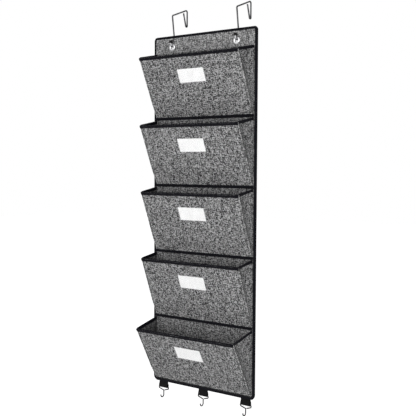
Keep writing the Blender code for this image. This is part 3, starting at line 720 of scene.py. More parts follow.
def folded_tape(name, stations, closed=False):
    """Sweeps the folded tape along stations of (crest, inward, front, near, far, width, run)."""
    points, cloth_map = [], []
    for crest, inward, front, near, far, width, run in stations:
        pucker = PUCKER * math.cos(2 * math.pi * run / STITCH_PITCH)
        wide = width * (1 + 0.03 * ripple(run, 0.0, 0.03, len(name)))
        profile = folded_profile(near, far, wide, pucker)
        lean = 0.0
        for before, here in zip([profile[0]] + profile, profile):
            lean += math.dist(before, here)
            points.append(crest + inward * here[0] + front * here[1])
            cloth_map.append((run, lean))
    count, size = len(stations), len(profile)
    faces = grid_faces(count, size, True, True) if closed else sweep_faces(count, size)
    return piece_from(name, points, faces, binding_tape, cloth_map, sharp=50)


def walk_round(outline, step):
    """Evenly spaced points round a closed outline, with the run from its start."""
    corners = [Vector(point) for point in outline + outline[:1]]
    runs = [0.0]
    for before, here in zip(corners, corners[1:]):
        runs.append(runs[-1] + (here - before).length)
    count = round(runs[-1] / step)
    places, leg = [], 0
    for index in range(count):
        run = runs[-1] * index / count
        while leg < len(runs) - 2 and runs[leg + 1] < run:
            leg += 1
        share = (run - runs[leg]) / max(runs[leg + 1] - runs[leg], 1e-9)
        places.append((corners[leg].lerp(corners[leg + 1], share), run))
    return places


edge_places = walk_round([(x, 0.0, z) for x, z in panel_outline(0.0)], TAPE_STEP)
stations = []
for index, (crest, run) in enumerate(edge_places):
    after = edge_places[(index + 1) % len(edge_places)][0]
    along = (after - edge_places[index - 1][0]).normalized()
    inward = Vector((-along.z, 0.0, along.x))
    width = TAPE_WIDTH - SIDE_TUCK * (1 - max(0.0, inward.z))
    stations.append((crest, inward, Vector((0, -1, 0)), -TAPE_FRONT, -TAPE_BACK, width, run))
panel_edge_tape = folded_tape("panel_edge_tape", stations, closed=True)
print("edge tape runs", round(edge_places[-1][1], 3), "m round the panel")

# %% [markdown]
# ## Seam tapes
# Four flat tapes hide the sewn lower edges of the upper pockets. Each is a thin band with soft
# edges, laid straight on the cloth and sewn along both sides, and its ends run under the binding. A
# flat strip would show hard edges, so a soft section is swept with a slight wave.

# %% Seam tapes
SEWN_SHARE = 0.30
SEAM_WAVE = 0.00025
SEAM_PUCKER = 0.08
BAND = ((-0.5, 0.0), (-0.5, 0.5), (-0.46, 0.9), (-0.34, 1.0), (-SEWN_SHARE, 0.75), (-0.26, 1.0), (0.0, 1.1))
BAND += tuple((-share, lift) for share, lift in reversed(BAND[:-1]))


def seam_box(seam):
    """A seam strip's two ends in X, its middle height and its width."""
    low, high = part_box(f"seam_strip_{seam}")
    return low.x, high.x, (low.z + high.z) / 2, high.z - low.z


def seam_tape(seam):
    """A band across the panel with soft edges and a slight wave."""
    left, right, middle, width = seam_box(seam)
    places = spread(left, right, round((right - left) / TAPE_STEP))
    points, cloth_map = [], []
    for x in places:
        wave = SEAM_WAVE * ripple(x, middle, 0.05, 4.0)
        for share, lift in BAND:
            sewn = abs(abs(share) - SEWN_SHARE) < 0.01
            pucker = SEAM_PUCKER * math.cos(2 * math.pi * x / STITCH_PITCH) if sewn else 0.0
            z = middle + share * width * (1 + 0.03 * ripple(x, share, 0.03, 5.0)) + wave
            points.append((x, TAPE_FRONT - 0.0001 + TAPE * (1.1 - lift - pucker), z))
            cloth_map.append((x, share * width))
    faces = sweep_faces(len(places), len(BAND))
    return piece_from(f"seam_tape_{seam}", points, faces, binding_tape, cloth_map, sharp=60)


seam_tapes = {seam: seam_tape(seam) for seam in range(1, 5)}
print(len(seam_tapes), "seam tapes")

# %% [markdown]
# ## Pocket fronts
# A front is a tweed sleeve with a stiff board inside. At both sides the sleeve's two layers are sewn
# together with the gusset, which leaves a groove and a soft lip a few millimetres wide. At the foot
# they are pressed flat into the tongue on which the front folds. The board holds the cloth taut, so
# a cloth simulation would change nothing, and the tables below give the places of the sleeve's two
# faces by the distance from the side edge and by the height above the fold. Each front's cloth map
# starts somewhere else, as each is cut from another place of the cloth, so no two look alike.

# %% Sleeve tables
SIDE_FRONT = ((0.0, -0.0009), (0.0003, -0.0018), (0.0010, -0.0026), (0.0026, -0.0027), (0.0036, -0.0009))
SIDE_FRONT += ((0.0054, -0.0009), (0.0066, -0.0032), (0.0090, -0.0037), (0.0300, -0.0037))
SIDE_BACK = ((0.0, -0.0009), (0.0004, 0.0), (0.0012, 0.0005), (0.0300, 0.0005))
FOOT_FRONT = ((0.0, -0.0005), (0.0030, -0.0005), (0.0080, -0.0009), (0.0450, -0.0037))
SIDE_STEPS = (0.0, 0.00015, 0.0003, 0.0006, 0.0010, 0.0018, 0.0026, 0.0029, 0.0032, 0.0036, 0.0045, 0.0054)
SIDE_STEPS += (0.0058, 0.0062, 0.0066, 0.0076, 0.009, 0.012, 0.016, 0.022)
FOOT_STEPS = (-0.0005, 0.0005, 0.0015, 0.0025, 0.0035, 0.0055, 0.008, 0.011, 0.014, 0.018, 0.024)
SLEEVE_TOP = FRONT_LENGTH - TAPE - SEAT_GAP
LABEL_Z = FRONT_LENGTH * 0.66
LABEL_HALF = 0.0448
LABEL_HALF_HEIGHT = 0.0213
FOOT_HALF = FRONT_HALF - SEAT_GAP - 0.0015
HALVES = ((0.0, FOOT_HALF - 0.0032), (0.0035, FOOT_HALF), (0.050, FRONT_HALF))
HEM = 0.0030
# Painted shadow along the foot of the lowest front.
HEM_PAINTED_SHADOW = 1.12
# Painted shade on the sleeves' inner faces.
BACK_PAINTED_SHADE = 0.70
# By the side seams: painted highlight on the lip, painted shadow with the thread in the groove, then lighter.
SIDE_PAINTED_LIGHT_AND_SHADOW = ((0.0030, -0.35), (0.0060, 0.25), (0.016, -0.12))
SLEEVE_CLOTH = 0.00035
MAP_X, MAP_Z, MAP_BACK = 0.7, 0.3, 0.35


def front_half_at(z):
    """Half the front's width at a height. The side seams draw in towards the tongue."""
    return read_table(HALVES, z)


def sleeve_faces(edge, z, x, seed):
    """The places of the sleeve's outer and inner faces, in the front's own depth."""
    outer = max(read_table(SIDE_FRONT, edge), read_table(FOOT_FRONT, z))
    off_label = max(abs(x) - LABEL_HALF, abs(z - LABEL_Z) - LABEL_HALF_HEIGHT, 0.0)
    under_rim = max(FRONT_LENGTH - TAPE_WIDTH - z, 0.0)
    swell = ease(min(1.0, edge / 0.03, max(z, 0.0) / 0.04, off_label / 0.015, under_rim / 0.012))
    outer -= swell * (SWELL + SWELL * ripple(x, z, 0.05, seed))
    return outer, read_table(SIDE_BACK, edge)


# %% Pocket sleeves
def pocket_sleeve(pocket):
    """The tweed sleeve of one front: a closed tube of cloth, open at the top under its tape."""
    width = 2 * FRONT_HALF
    inside = spread(SIDE_STEPS[-1], width - SIDE_STEPS[-1], 62)[1:-1]
    shares = [*SIDE_STEPS, *inside, *(width - edge for edge in reversed(SIDE_STEPS))]
    heights = [*FOOT_STEPS, *spread(0.030, SLEEVE_TOP, 36)]
    place = on_front(pocket)
    points, cloth_map = [], []
    for z in heights:
        row = []
        for share in shares:
            x = (share - FRONT_HALF) / FRONT_HALF * front_half_at(z)
            row.append((x, *sleeve_faces(min(share, width - share), z, x, 10.0 + pocket)))
        for x, outer, _ in row:
            points.append(place @ Vector((x, outer, z)))
            cloth_map.append((x + MAP_X * pocket, z + MAP_Z * pocket))
        for x, _, inner in reversed(row[1:-1]):
            points.append(place @ Vector((x, inner, z)))
            cloth_map.append((-x + MAP_BACK + MAP_X * pocket, z + MAP_Z * pocket))
    loop = 2 * len(shares) - 2
    faces = grid_faces(len(heights), loop, close_columns=True)
    for column in range(len(shares) - 1):
        quad = (column, column + 1, (loop - column - 1) % loop, (loop - column) % loop)
        faces.append(tuple(dict.fromkeys(quad)))
    sleeve = piece_from(f"pocket_{pocket}_sleeve", points, faces, tweed, cloth_map, sharp=70)
    flatten = place.inverted()

    def painted_shade(face):
        flat = flatten @ face.center
        # Painted shadow, shade and highlight on the sleeve's faces.
        if pocket == 5 and flat.z < HEM:
            return HEM_PAINTED_SHADOW
        if face.normal.y > 0.3:
            return BACK_PAINTED_SHADE
        edge = front_half_at(flat.z) - abs(flat.x)
        return next((share for reach, share in SIDE_PAINTED_LIGHT_AND_SHADOW if edge < reach), 0.0)

    return mark_faces(thicken(sleeve, SLEEVE_CLOTH, -1.0), "painted_shade", painted_shade)


sleeves = {pocket: pocket_sleeve(pocket) for pocket in POCKETS}
print("a sleeve has", len(sleeves[1].data.polygons), "faces")

# %% [markdown]
# ## Stiffeners and rims
# The board is cut back from the sewn side edges and has round corners, so that it slides into the
# sleeve. It is never seen, but it is there, and the cloth rests on it. The rim is the folded tape
# again, pinched where the sleeve thins at its sides.

# %% Stiffeners and rims
BOARD_FOOT = 0.030
BOARD_INSET = 0.0080
BOARD_CORNER = 0.006
RIM_FRONT = ((0.0, -0.0028), (0.004, -0.0034), (0.008, -0.0040))


def pocket_board(pocket):
    """The stiff board inside a sleeve, its edges a little rounded."""

    def corner(side_x, side_z):
        height = SLEEVE_TOP - 0.0004 if side_z > 0 else BOARD_FOOT
        half = front_half_at(height) - BOARD_INSET
        return side_x * (half - BOARD_CORNER), height - side_z * BOARD_CORNER, BOARD_CORNER

    outline = rounded(corner, 5)
    place = on_front(pocket)
    points = []
    for depth, inset in ((-0.0025, 0.0002), (-0.0023, 0.0), (-0.0007, 0.0), (-0.0005, 0.0002)):
        for x, z in outline:
            pull_x, pull_z = math.copysign(inset, x), math.copysign(inset, 0.08 - z)
            points.append(place @ Vector((x - pull_x, depth, z + pull_z)))
    faces = sweep_faces(4, len(outline))
    return piece_from(f"pocket_{pocket}_stiffener", points, faces, grey_board, sharp=40)


def pocket_rim(pocket):
    """The tape folded over a front's top edge."""
    place = on_front(pocket)
    turned = place.to_3x3()
    inward, front = turned @ Vector((0, 0, -1)), turned @ Vector((0, -1, 0))
    stations = []
    for x in spread(-FRONT_HALF, FRONT_HALF, round(2 * FRONT_HALF / TAPE_STEP)):
        near = TAPE - read_table(RIM_FRONT, FRONT_HALF - abs(x))
        crest = place @ Vector((x, 0.0, FRONT_LENGTH))
        stations.append((crest, inward, front, near, -FRONT_INNER - SEAT_GAP - TAPE, TAPE_WIDTH, x))
    return folded_tape(f"pocket_{pocket}_rim_tape", stations)


stiffeners = {pocket: pocket_board(pocket) for pocket in POCKETS}
rims = {pocket: pocket_rim(pocket) for pocket in POCKETS}
print(len(stiffeners), "stiffeners and", len(rims), "rims")

# %% [markdown]
# ## Gussets
# A side gusset lets its front fold up. Its top edge is taut, and below that the cloth creases
# inwards: two creases run down from the top corners to a point about a quarter of the way down, and
# one runs from there to the foot. Where the three meet, the cloth puckers in small rays. A formula
# for that shape keeps the left and right sides alike and meets the panel and the front exactly.

# %% Gusset shape
GUSSET_FOOT = 0.014
GUSSET_FOLD = 0.009
FOOT_FOLD = 0.0025
CREASE_TOP = 0.76
CREASE_SOFT = 0.0006
RAY_DEPTH = 0.0023
WRINKLE = 0.0018


def gusset_folds(across, up):
    """How far the top flap and the two lower flaps fold in at a place. The lesser one shows."""
    depth = FOOT_FOLD + (GUSSET_FOLD - FOOT_FOLD) * min(up / CREASE_TOP, 1.0)
    return GUSSET_FOLD * (1 - up) / (1 - CREASE_TOP), depth * (1 - abs(2 * across - 1))


def gusset_point(pocket, side, across, up):
    """A point of a gusset's cloth: across from 0 at the panel to 1 at the front, up from its foot."""
    sine, cosine = math.sin(fold_angle(pocket)), math.cos(fold_angle(pocket))
    along = GUSSET_FOOT + (FRONT_LENGTH - GUSSET_FOOT) * up
    inner = FRONT_INNER + SEAT_GAP + (TAPE if up > 0.95 else 0.0)
    rear = Vector((0.0, FACE_FRONT - SEAT_GAP, along))
    fore = Vector((0.0, FOLD_Y - along * sine + inner * cosine, along * cosine + inner * sine))
    point = rear.lerp(fore, across)
    upper, lower = gusset_folds(across, up)
    blend = max(0.0, CREASE_SOFT - abs(upper - lower)) / CREASE_SOFT
    fold = min(upper, lower) - blend * blend * CREASE_SOFT / 4
    distance = math.hypot((across - 0.5) * POCKET_DEPTHS[pocket], (up - CREASE_TOP) * FRONT_LENGTH)
    rays = math.cos(7 * math.atan2(up - CREASE_TOP, (across - 0.5) * 0.5))
    calm = min(1.0, 8 * min(across, 1 - across, 1 - up))
    fold += RAY_DEPTH * rays * math.exp(-distance / 0.026) * min(1.0, distance / 0.004) * calm
    fold += WRINKLE * ripple(along, across * 0.05, 0.022, pocket * 1.7) * calm
    outside = front_half_at(along) - TAPE - FACE_CLOTH / 2
    return Vector((side * (outside - fold), point.y, fold_height(pocket) + point.z))


# %% [markdown]
# Each gusset is cut in two along its middle crease, because the rear half stays on the panel and the
# other half moves with the front. A share on its faces paints light along the creases and shade on the
# inside, darkens the front's seam with its thread and a painted shadow, and darkens the cloth towards
# the front, with a random tone.

# %% Gusset halves
GUSSET_ROWS = 56
GUSSET_COLUMNS = 18
GUSSET_PARTS = (("rear", 0.0), ("fore", 0.5))
CUT_SHARE = 0.9
CUT_HEIGHT = 0.155
# Painted shade on the gussets' inner faces.
INSIDE_PAINTED_SHADE = 0.65
FRONT_SEAM = 0.0035
# The front's seam: its thread with a painted shadow.
FRONT_SEAM_THREAD_AND_SHADOW = 0.95
TOP_CREASES = 0.0005
MIDDLE_CREASE = 0.0012
# Painted highlight along the creases.
CREASE_PAINTED_HIGHLIGHT = -0.5


def gusset_half(pocket, side_name, side, part, first):
    """One half of a gusset, from its joined edge to the crease in its middle."""
    points, cloth_map = [], []
    width = POCKET_DEPTHS[pocket]
    start_x, start_y = 0.9 * pocket + 0.17 * side, 0.41 * pocket
    for up in spread(0.0, 1.0, GUSSET_ROWS):
        for across in spread(first, first + 0.5, GUSSET_COLUMNS):
            points.append(gusset_point(pocket, side, across, up))
            cloth_map.append((across * width * CUT_SHARE + start_x, up * CUT_HEIGHT + start_y))
    name = f"pocket_{pocket}_gusset_{part}_{side_name}"
    half = piece_from(name, points, grid_faces(GUSSET_ROWS, GUSSET_COLUMNS), tweed, cloth_map)
    thicken(half, FACE_CLOTH * 0.9)

    def painted_shade(face):
        # Painted shade inside, the seam's thread and painted shadow, and painted light on the creases.
        if face.normal.x * side < 0:
            return INSIDE_PAINTED_SHADE
        cloth = half.data.uv_layers["cloth"].data
        middle = sum((cloth[loop].uv for loop in face.loop_indices), Vector((0, 0))) / face.loop_total
        across = (middle.x - start_x) / (width * CUT_SHARE)
        up = (middle.y - start_y) / CUT_HEIGHT
        if (1 - across) * width < FRONT_SEAM:
            return FRONT_SEAM_THREAD_AND_SHADOW
        upper, lower = gusset_folds(across, up)
        on_middle = abs(across - 0.5) * width < MIDDLE_CREASE and up < CREASE_TOP
        if on_middle or abs(upper - lower) < TOP_CREASES:
            return CREASE_PAINTED_HIGHLIGHT
        # Darker towards the front, with a random tone.
        near_front = max(0.0, across - 0.55) / 0.45
        return 0.26 * near_front - 0.04 + 0.28 * ripple(across * width, up * CUT_HEIGHT, 0.012, pocket * 2.3)

    return mark_faces(half, "painted_shade", painted_shade)


def gusset_tape(pocket, side_name, side, part, first):
    """The tape on one half of a gusset's top edge."""
    stations, run = [], 0.0
    half_depth = POCKET_DEPTHS[pocket] / 2
    count = max(6, round(half_depth / TAPE_STEP))
    drop = TAPE_WIDTH / (FRONT_LENGTH - GUSSET_FOOT)
    thick = FACE_CLOTH / 2 + TAPE
    for across in spread(first, first + 0.5, count):
        crest = gusset_point(pocket, side, across, 1.0)
        inward = (gusset_point(pocket, side, across, 1.0 - drop) - crest).normalized()
        front = Vector((side, 0.0, 0.0))
        stations.append((crest - inward * TAPE, inward, front, thick, -thick, TAPE_WIDTH, run))
        run += half_depth / (count - 1)
    return folded_tape(f"pocket_{pocket}_gusset_tape_{part}_{side_name}", stations)


gussets, gusset_tapes = {}, {}
for pocket in POCKETS:
    for side_name, side in SIDES:
        for part, first in GUSSET_PARTS:
            key = (pocket, side_name, part)
            gussets[key] = gusset_half(pocket, side_name, side, part, first)
            gusset_tapes[key] = gusset_tape(pocket, side_name, side, part, first)
print(len(gussets), "gusset halves")

# %% [markdown]
# ## Wires
# The over-door hooks and the key hooks are bent from round wire. A bender's drawing gives the
# corners and a radius for each bend, so the path is worked out from those.


# %% Wire paths
def bent_path(corners, radii, steps=12):
    """A path through corner points, each inner corner rounded to its bend radius."""
    corners = [Vector(corner) for corner in corners]
    points = [corners[0]]
    for before, here, after, radius in zip(corners, corners[1:], corners[2:], radii):
        inward = (before - here).normalized()
        onward = (after - here).normalized()
        half = inward.angle(onward) / 2
        reach = radius / math.tan(half)
        centre = here + (inward + onward).normalized() * radius / math.sin(half)
        first = here + inward * reach - centre
        last = here + onward * reach - centre
        turn = first.angle(last)
        for share in spread(0.0, 1.0, steps + 1):
            one = math.sin(turn * (1 - share)) / math.sin(turn)
            other = math.sin(turn * share) / math.sin(turn)
            points.append(centre + first * one + last * other)
    return points + [corners[-1]]


HOOK_WIRE = 0.0018
HOOK_LEAN = math.radians(8.0)
HOOK_AXIS_Y = FACE_FRONT / 2
HOOK_REST = 0.0020
CAP_RADIUS = 0.0042
HOOK_TIP_Y = FACE_FRONT - 2 * SEAT_GAP - CAP_RADIUS - HOOK_AXIS_Y
HOOK_TIP_Z = 0.016
BAR_RISE = math.radians(13.0)
BAR_LENGTH = 0.068
LEG_RISE = 0.050
CLIP_DROP = 0.0455
CLIP_FOOT = 0.0056
CLIP_END_DROP, CLIP_END_REACH = 0.0105, 0.016
HOOK_BENDS = (0.0045, 0.0045, 0.0045, 0.0045, 0.0028, 0.0028)


def hook_corners():
    """The over-door hook's corners, upright, from its front tip to the clip's free end."""
    top_reach = (PANEL_TOP - HOOK_REST) * math.tan(HOOK_LEAN)
    leg_clear = TAPE_BACK + 0.0004 + HOOK_WIRE / math.cos(HOOK_LEAN)
    leg_y = (leg_clear + top_reach - HOOK_AXIS_Y) * math.cos(HOOK_LEAN)
    front_top = Vector((0.0, leg_y, (PANEL_TOP + LEG_RISE) / math.cos(HOOK_LEAN)))
    rear_top = front_top + Vector((0.0, math.cos(BAR_RISE), math.sin(BAR_RISE))) * BAR_LENGTH
    clip = Vector((0.0, -math.sin(HOOK_LEAN), -math.cos(HOOK_LEAN)))
    across = Vector((0.0, -math.cos(HOOK_LEAN), math.sin(HOOK_LEAN)))
    foot = rear_top + clip * CLIP_DROP
    wire_end = rear_top + clip * CLIP_END_DROP + across * CLIP_END_REACH
    start = [(0.0, HOOK_TIP_Y, HOOK_TIP_Z), (0.0, HOOK_TIP_Y, 0.0), (0.0, leg_y, 0.0)]
    return start + [front_top, rear_top, foot, foot + across * CLIP_FOOT, wire_end]


def on_hook(side):
    """The matrix that takes an upright hook to its leaning place in a grommet."""
    place = Vector((side * GROMMET_X, HOOK_AXIS_Y, HOOK_REST))
    return Matrix.Translation(place) @ Matrix.Rotation(HOOK_LEAN, 4, "X")


hook_path = bent_path(hook_corners(), HOOK_BENDS)
print("door hook's path has", len(hook_path), "points")

# %% [markdown]
# Geometry Nodes sweep a circle along a path, with the wire's radius and its sides as named inputs,
# so both kinds of hook come from one tree. The wires are drawn a little thicker than the solids'
# wire, as heavy as the photograph shows them.

# %% Wire node tree
HOOK_WIRE_DRAWN = 0.0020


def end_tree(hand, geometry, finish, end):
    """Ends a tree as the export needs it: made real, and with its finish."""
    real = hand.add("GeometryNodeRealizeInstances", {"Geometry": geometry})
    finished = hand.add("GeometryNodeSetMaterial", {"Geometry": real.outputs[0], "Material": finish})
    hand.feed(end, 0, finished.outputs[0])


wire_tree, hand, start, end = new_tree(
    "bent_wire",
    "Geometry",
    (
        ("Path", "Geometry", None),
        ("Wire radius", "Float", HOOK_WIRE),
        ("Sides", "Int", 20),
        ("Finish", "Material", None),
    ),
    (("Wire", "Geometry"),),
)
line = hand.add("GeometryNodeMeshToCurve", {"Mesh": start["Path"]}).outputs[0]
inputs = {"Resolution": start["Sides"], "Radius": start["Wire radius"]}
ring = hand.add("GeometryNodeCurvePrimitiveCircle", inputs).outputs[0]
swept = hand.add("GeometryNodeCurveToMesh", {"Curve": line, "Profile Curve": ring, "Fill Caps": True})
smooth = hand.add("GeometryNodeSetShadeSmooth", {"Geometry": swept.outputs[0]})
end_tree(hand, smooth.outputs[0], start["Finish"], end)


def run_tree(name, tree, lines, finish, inputs):
    """Runs a Geometry Nodes tree on drawn lines and keeps the result as a plain mesh piece."""
    points, edges = [], []
    for line in lines:
        edges += [(index, index + 1) for index in range(len(points), len(points) + len(line) - 1)]
        points += line
    mesh = bpy.data.meshes.new(name)
    mesh.from_pydata([tuple(point) for point in points], edges, [])
    piece = bpy.data.objects.new(name, mesh)
    scene.collection.objects.link(piece)
    modifier = piece.modifiers.new("tree", "NODES")
    modifier.node_group = tree
    sockets = {item.name: item.identifier for item in tree.interface.items_tree if item.in_out == "INPUT"}
    for label, value in {**inputs, "Finish": finish}.items():
        modifier[sockets[label]] = value
    settle(piece)
    if not piece.data.materials:
        piece.data.materials.append(finish)
    return piece


def in_front(face):
    """The painted highlight: the hook's wire is painted brighter where it comes out of the grommet."""
    return float(face.center.y < HOOK_AXIS_Y and face.center.z < PANEL_TOP)


door_wires = {}
for side_name, side in SIDES:
    path = [on_hook(side) @ point for point in hook_path]
    inputs = {"Wire radius": HOOK_WIRE_DRAWN, "Sides": 24}
    door_wires[side_name] = run_tree(f"door_hook_wire_{side_name}", wire_tree, [path], bright_wire, inputs)
    # The wire in front of the panel gets a painted highlight.
    mark_faces(door_wires[side_name], "painted_highlight", in_front)
print("a door hook has", len(door_wires["left"].data.polygons), "faces")

# %% [markdown]
# ## Key hooks
# A key hook is one bent wire: a bar in the webbing loop, a frame that narrows below it, and a round
# hook that opens forwards. It goes through the same tree as the door hooks.

# %% Key hooks
LOOP_PLACES = (("left", -1), ("centre", 0), ("right", 1))
LOOP_X = PANEL_WIDTH / 2 - 0.031
LOOP_RADIUS = 0.0034
WEBBING = 0.0013
WEBBING_WIDTH = 0.0285
LOOP_MIDDLE_Y = TAPE_BACK + SEAT_GAP + WEBBING + SEAT_GAP / 2
LOOP_BAR_Z = PANEL_BOTTOM - 0.019 + LOOP_RADIUS + WEBBING
KEY_WIRE = 0.0012
KEY_WIRE_DRAWN = 0.0015
KEY_HOOK = 0.0062
KEY_FRAME_SIDE = -0.0054
KEY_FRAME_DROP = 0.005
KEY_SHANK = 0.011
KEY_BAR_Z = LOOP_BAR_Z - LOOP_RADIUS + KEY_WIRE + SEAT_GAP


def key_hook_corners():
    """The key hook's corners, from its tip round the frame to the wire's other end."""
    half = WEBBING_WIDTH / 2 + 0.001 + KEY_WIRE
    apex = KEY_FRAME_SIDE - KEY_FRAME_DROP
    end_x = 2 * KEY_WIRE_DRAWN + 0.0004
    foot = apex - KEY_SHANK
    low, front = foot - KEY_HOOK, -2 * KEY_HOOK
    hook = [(0.0, front, foot + 0.0012), (0.0, front, low), (0.0, 0.0, low)]
    sides = [(0.0, 0.0, apex), (-half, 0.0, KEY_FRAME_SIDE), (-half, 0.0, 0.0), (half, 0.0, 0.0)]
    return hook + sides + [(half, 0.0, KEY_FRAME_SIDE), (end_x, 0.0, apex + KEY_FRAME_DROP * end_x / half)]


key_path = bent_path(key_hook_corners(), (KEY_HOOK, KEY_HOOK) + (0.002,) * 5, 8)
key_wires = {}
for side_name, side in LOOP_PLACES:
    path = [Vector((side * LOOP_X, LOOP_MIDDLE_Y, KEY_BAR_Z)) + point for point in key_path]
    inputs = {"Wire radius": KEY_WIRE_DRAWN, "Sides": 16}
    key_wires[side_name] = run_tree(f"key_hook_wire_{side_name}", wire_tree, [path], key_wire_metal, inputs)
print("a key hook has", len(key_wires["left"].data.polygons), "faces")

# %% [markdown]
# ## Turned pieces
# Eyelets, washers and caps are round, so each is a half section turned about its axis, as a lathe
# would make it. The eyelet's front is a smooth dome pressed out of thin sheet, and its barrel is
# rolled over the washer behind.

# %% Turned pieces
EYELET_SEAT = FACE_FRONT - SEAT_GAP
EYELET_RADIUS = 0.0097
EYELET_BAND = 0.0055
EYELET_RISE = 0.0016
WASHER_BACK = SEAT_GAP + 0.0007
CAP_ROUND = 0.0018


def turned_piece(name, section, place, upright, material, sides=48):
    """Turns a closed section of (radius, height) pairs about an axis along Y, or along Z if upright."""
    points = []
    for radius, height in section:
        for index in range(sides):
            turn = 2 * math.pi * index / sides
            a, b = radius * math.cos(turn), radius * math.sin(turn)
            points.append(place @ (Vector((a, b, height)) if upright else Vector((a, height, b))))
    return piece_from(name, points, grid_faces(len(section), sides, True, True), material, sharp=40)


eyelet = [(0.0054, WASHER_BACK + SEAT_GAP), (0.0054, EYELET_SEAT), (EYELET_RADIUS, EYELET_SEAT)]
for step in range(1, 12):
    turn = math.pi * step / 12
    radius = EYELET_RADIUS - EYELET_BAND * (1 - math.cos(turn)) / 2
    eyelet.append((radius, EYELET_SEAT - EYELET_RISE * math.sin(turn) ** 0.8))
eyelet += [(0.0048, EYELET_SEAT), (0.0048, WASHER_BACK + 0.0006), (0.0052, WASHER_BACK + 0.00085)]
eyelet += [(0.0066, WASHER_BACK + 0.00085), (0.0072, WASHER_BACK + 0.0006), (0.0072, WASHER_BACK + SEAT_GAP)]

washer = [(0.0057, SEAT_GAP), (0.0088, SEAT_GAP), (0.0090, SEAT_GAP + 0.0002), (0.0090, WASHER_BACK - 0.0002)]
washer += [(0.0088, WASHER_BACK), (0.0057, WASHER_BACK)]

bore, foot, top = HOOK_WIRE_DRAWN + 0.0001, HOOK_TIP_Z - 0.0055, HOOK_TIP_Z + 0.0017
cap = [(0.0001, HOOK_TIP_Z + 0.0002), (bore, HOOK_TIP_Z + 0.0002), (bore, foot)]
cap += [(CAP_RADIUS - 0.0004, foot), (CAP_RADIUS, foot + 0.0004)]
for step in range(9):
    turn = math.pi / 2 * step / 8
    cap.append((CAP_RADIUS - CAP_ROUND * (1 - math.cos(turn)), top - CAP_ROUND * (1 - math.sin(turn))))
cap.append((0.0001, top))

eyelets, washers, caps = {}, {}, {}
for side_name, side in SIDES:
    place = Matrix.Translation(Vector((side * GROMMET_X, 0.0, 0.0)))
    tip_place = on_hook(side) @ Matrix.Translation(Vector((0, HOOK_TIP_Y, 0)))
    eyelets[side_name] = turned_piece(f"eyelet_{side_name}", eyelet, place, False, bright_eyelet)
    washers[side_name] = turned_piece(f"washer_{side_name}", washer, place, False, bright_eyelet)
    caps[side_name] = turned_piece(f"hook_tip_cap_{side_name}", cap, tip_place, True, cap_plastic)
print("an eyelet has", len(eyelets["left"].data.polygons), "faces")

# %% [markdown]
# ## Webbing loops
# Each key hook hangs in a strap that is folded in half round the hook's bar and sewn to the back of
# the panel. Its two plies lie together under the seam, swell round the bar, and the strap's edges
# curl a little, so the piece is swept along that line with a soft section.

# %% Webbing loops
STRAP = [(-0.5, 0.0), (-0.495, 0.30), (-0.475, 0.46), (-0.44, 0.42), (-0.41, 0.50)]
STRAP += [(share, 0.5) for share in spread(-0.34, 0.34, 9)]
STRAP += [(-share, lift) for share, lift in reversed(STRAP[:5])]
STRAP += [(share, -lift) for share, lift in reversed(STRAP[1:-1])]


def webbing_line():
    """The strap's centre line in Y and Z, from its sewn end round the bar and back."""
    ply = WEBBING / 2 + SEAT_GAP / 2
    bulge = LOOP_RADIUS + WEBBING / 2
    line = [(-ply, z) for z in spread(PANEL_BOTTOM + 0.022, PANEL_BOTTOM, 12)]
    drop = PANEL_BOTTOM - LOOP_BAR_Z
    for step in range(1, 14):
        share = step / 14
        line.append((-ply - (bulge - ply) * ease(share), PANEL_BOTTOM - drop * share))
    for step in range(12):
        turn = math.pi / 2 * step / 12
        line.append((-bulge * math.cos(turn), LOOP_BAR_Z - bulge * math.sin(turn)))
    return line + [(0.0, LOOP_BAR_Z - bulge)] + [(-y, z) for y, z in reversed(line)]


def webbing_loop(side_name, side):
    """One strap, swept along its line, with a faint wave in its edges."""
    line = webbing_line()
    points, cloth_map = [], []
    run = 0.0
    for before, here, after in zip(line[:1] + line, line, line[1:] + line[-1:]):
        along = Vector((0.0, after[0] - before[0], after[1] - before[1])).normalized()
        out = Vector((0.0, -along.z, along.y))
        run += math.dist(before, here)
        for share, lift in STRAP:
            wave = 0.0003 * ripple(run, share, 0.012, side + 3.0)
            x = side * LOOP_X + share * (WEBBING_WIDTH + wave)
            points.append(Vector((x, LOOP_MIDDLE_Y + here[0], here[1])) + out * (lift * WEBBING))
            cloth_map.append((run, share * WEBBING_WIDTH + 0.0142))
    faces = sweep_faces(len(line), len(STRAP))
    return piece_from(f"key_strap_{side_name}", points, faces, black_webbing, cloth_map, sharp=60)


straps = {side_name: webbing_loop(side_name, side) for side_name, side in LOOP_PLACES}
print(len(straps), "straps")

# %% [markdown]
# ## Label cards and windows
# The white cards and their clear holders have the right shape in the frame, so they stay and only
# get their paper and plastic. The panel's board stays inside the cloth in the same way.

# %% Carried-over solids
carried = {"panel_board": grey_board}
for pocket in POCKETS:
    carried[f"pocket_{pocket}_label_card"] = white_card
    carried[f"pocket_{pocket}_label_window"] = clear_window
for node, material in carried.items():
    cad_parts[node].data.materials.clear()
    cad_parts[node].data.materials.append(material)
print(len(carried), "solids keep their shape")

# %% [markdown]
# ## Stitches
# Black thread holds the tapes, the sleeves and the straps. A stitch is a tiny stretched bead, set
# out at one pitch along each seam line. Geometry Nodes do exactly that: they resample the line, put
# a bead on each point, turn it along the line and make it real.

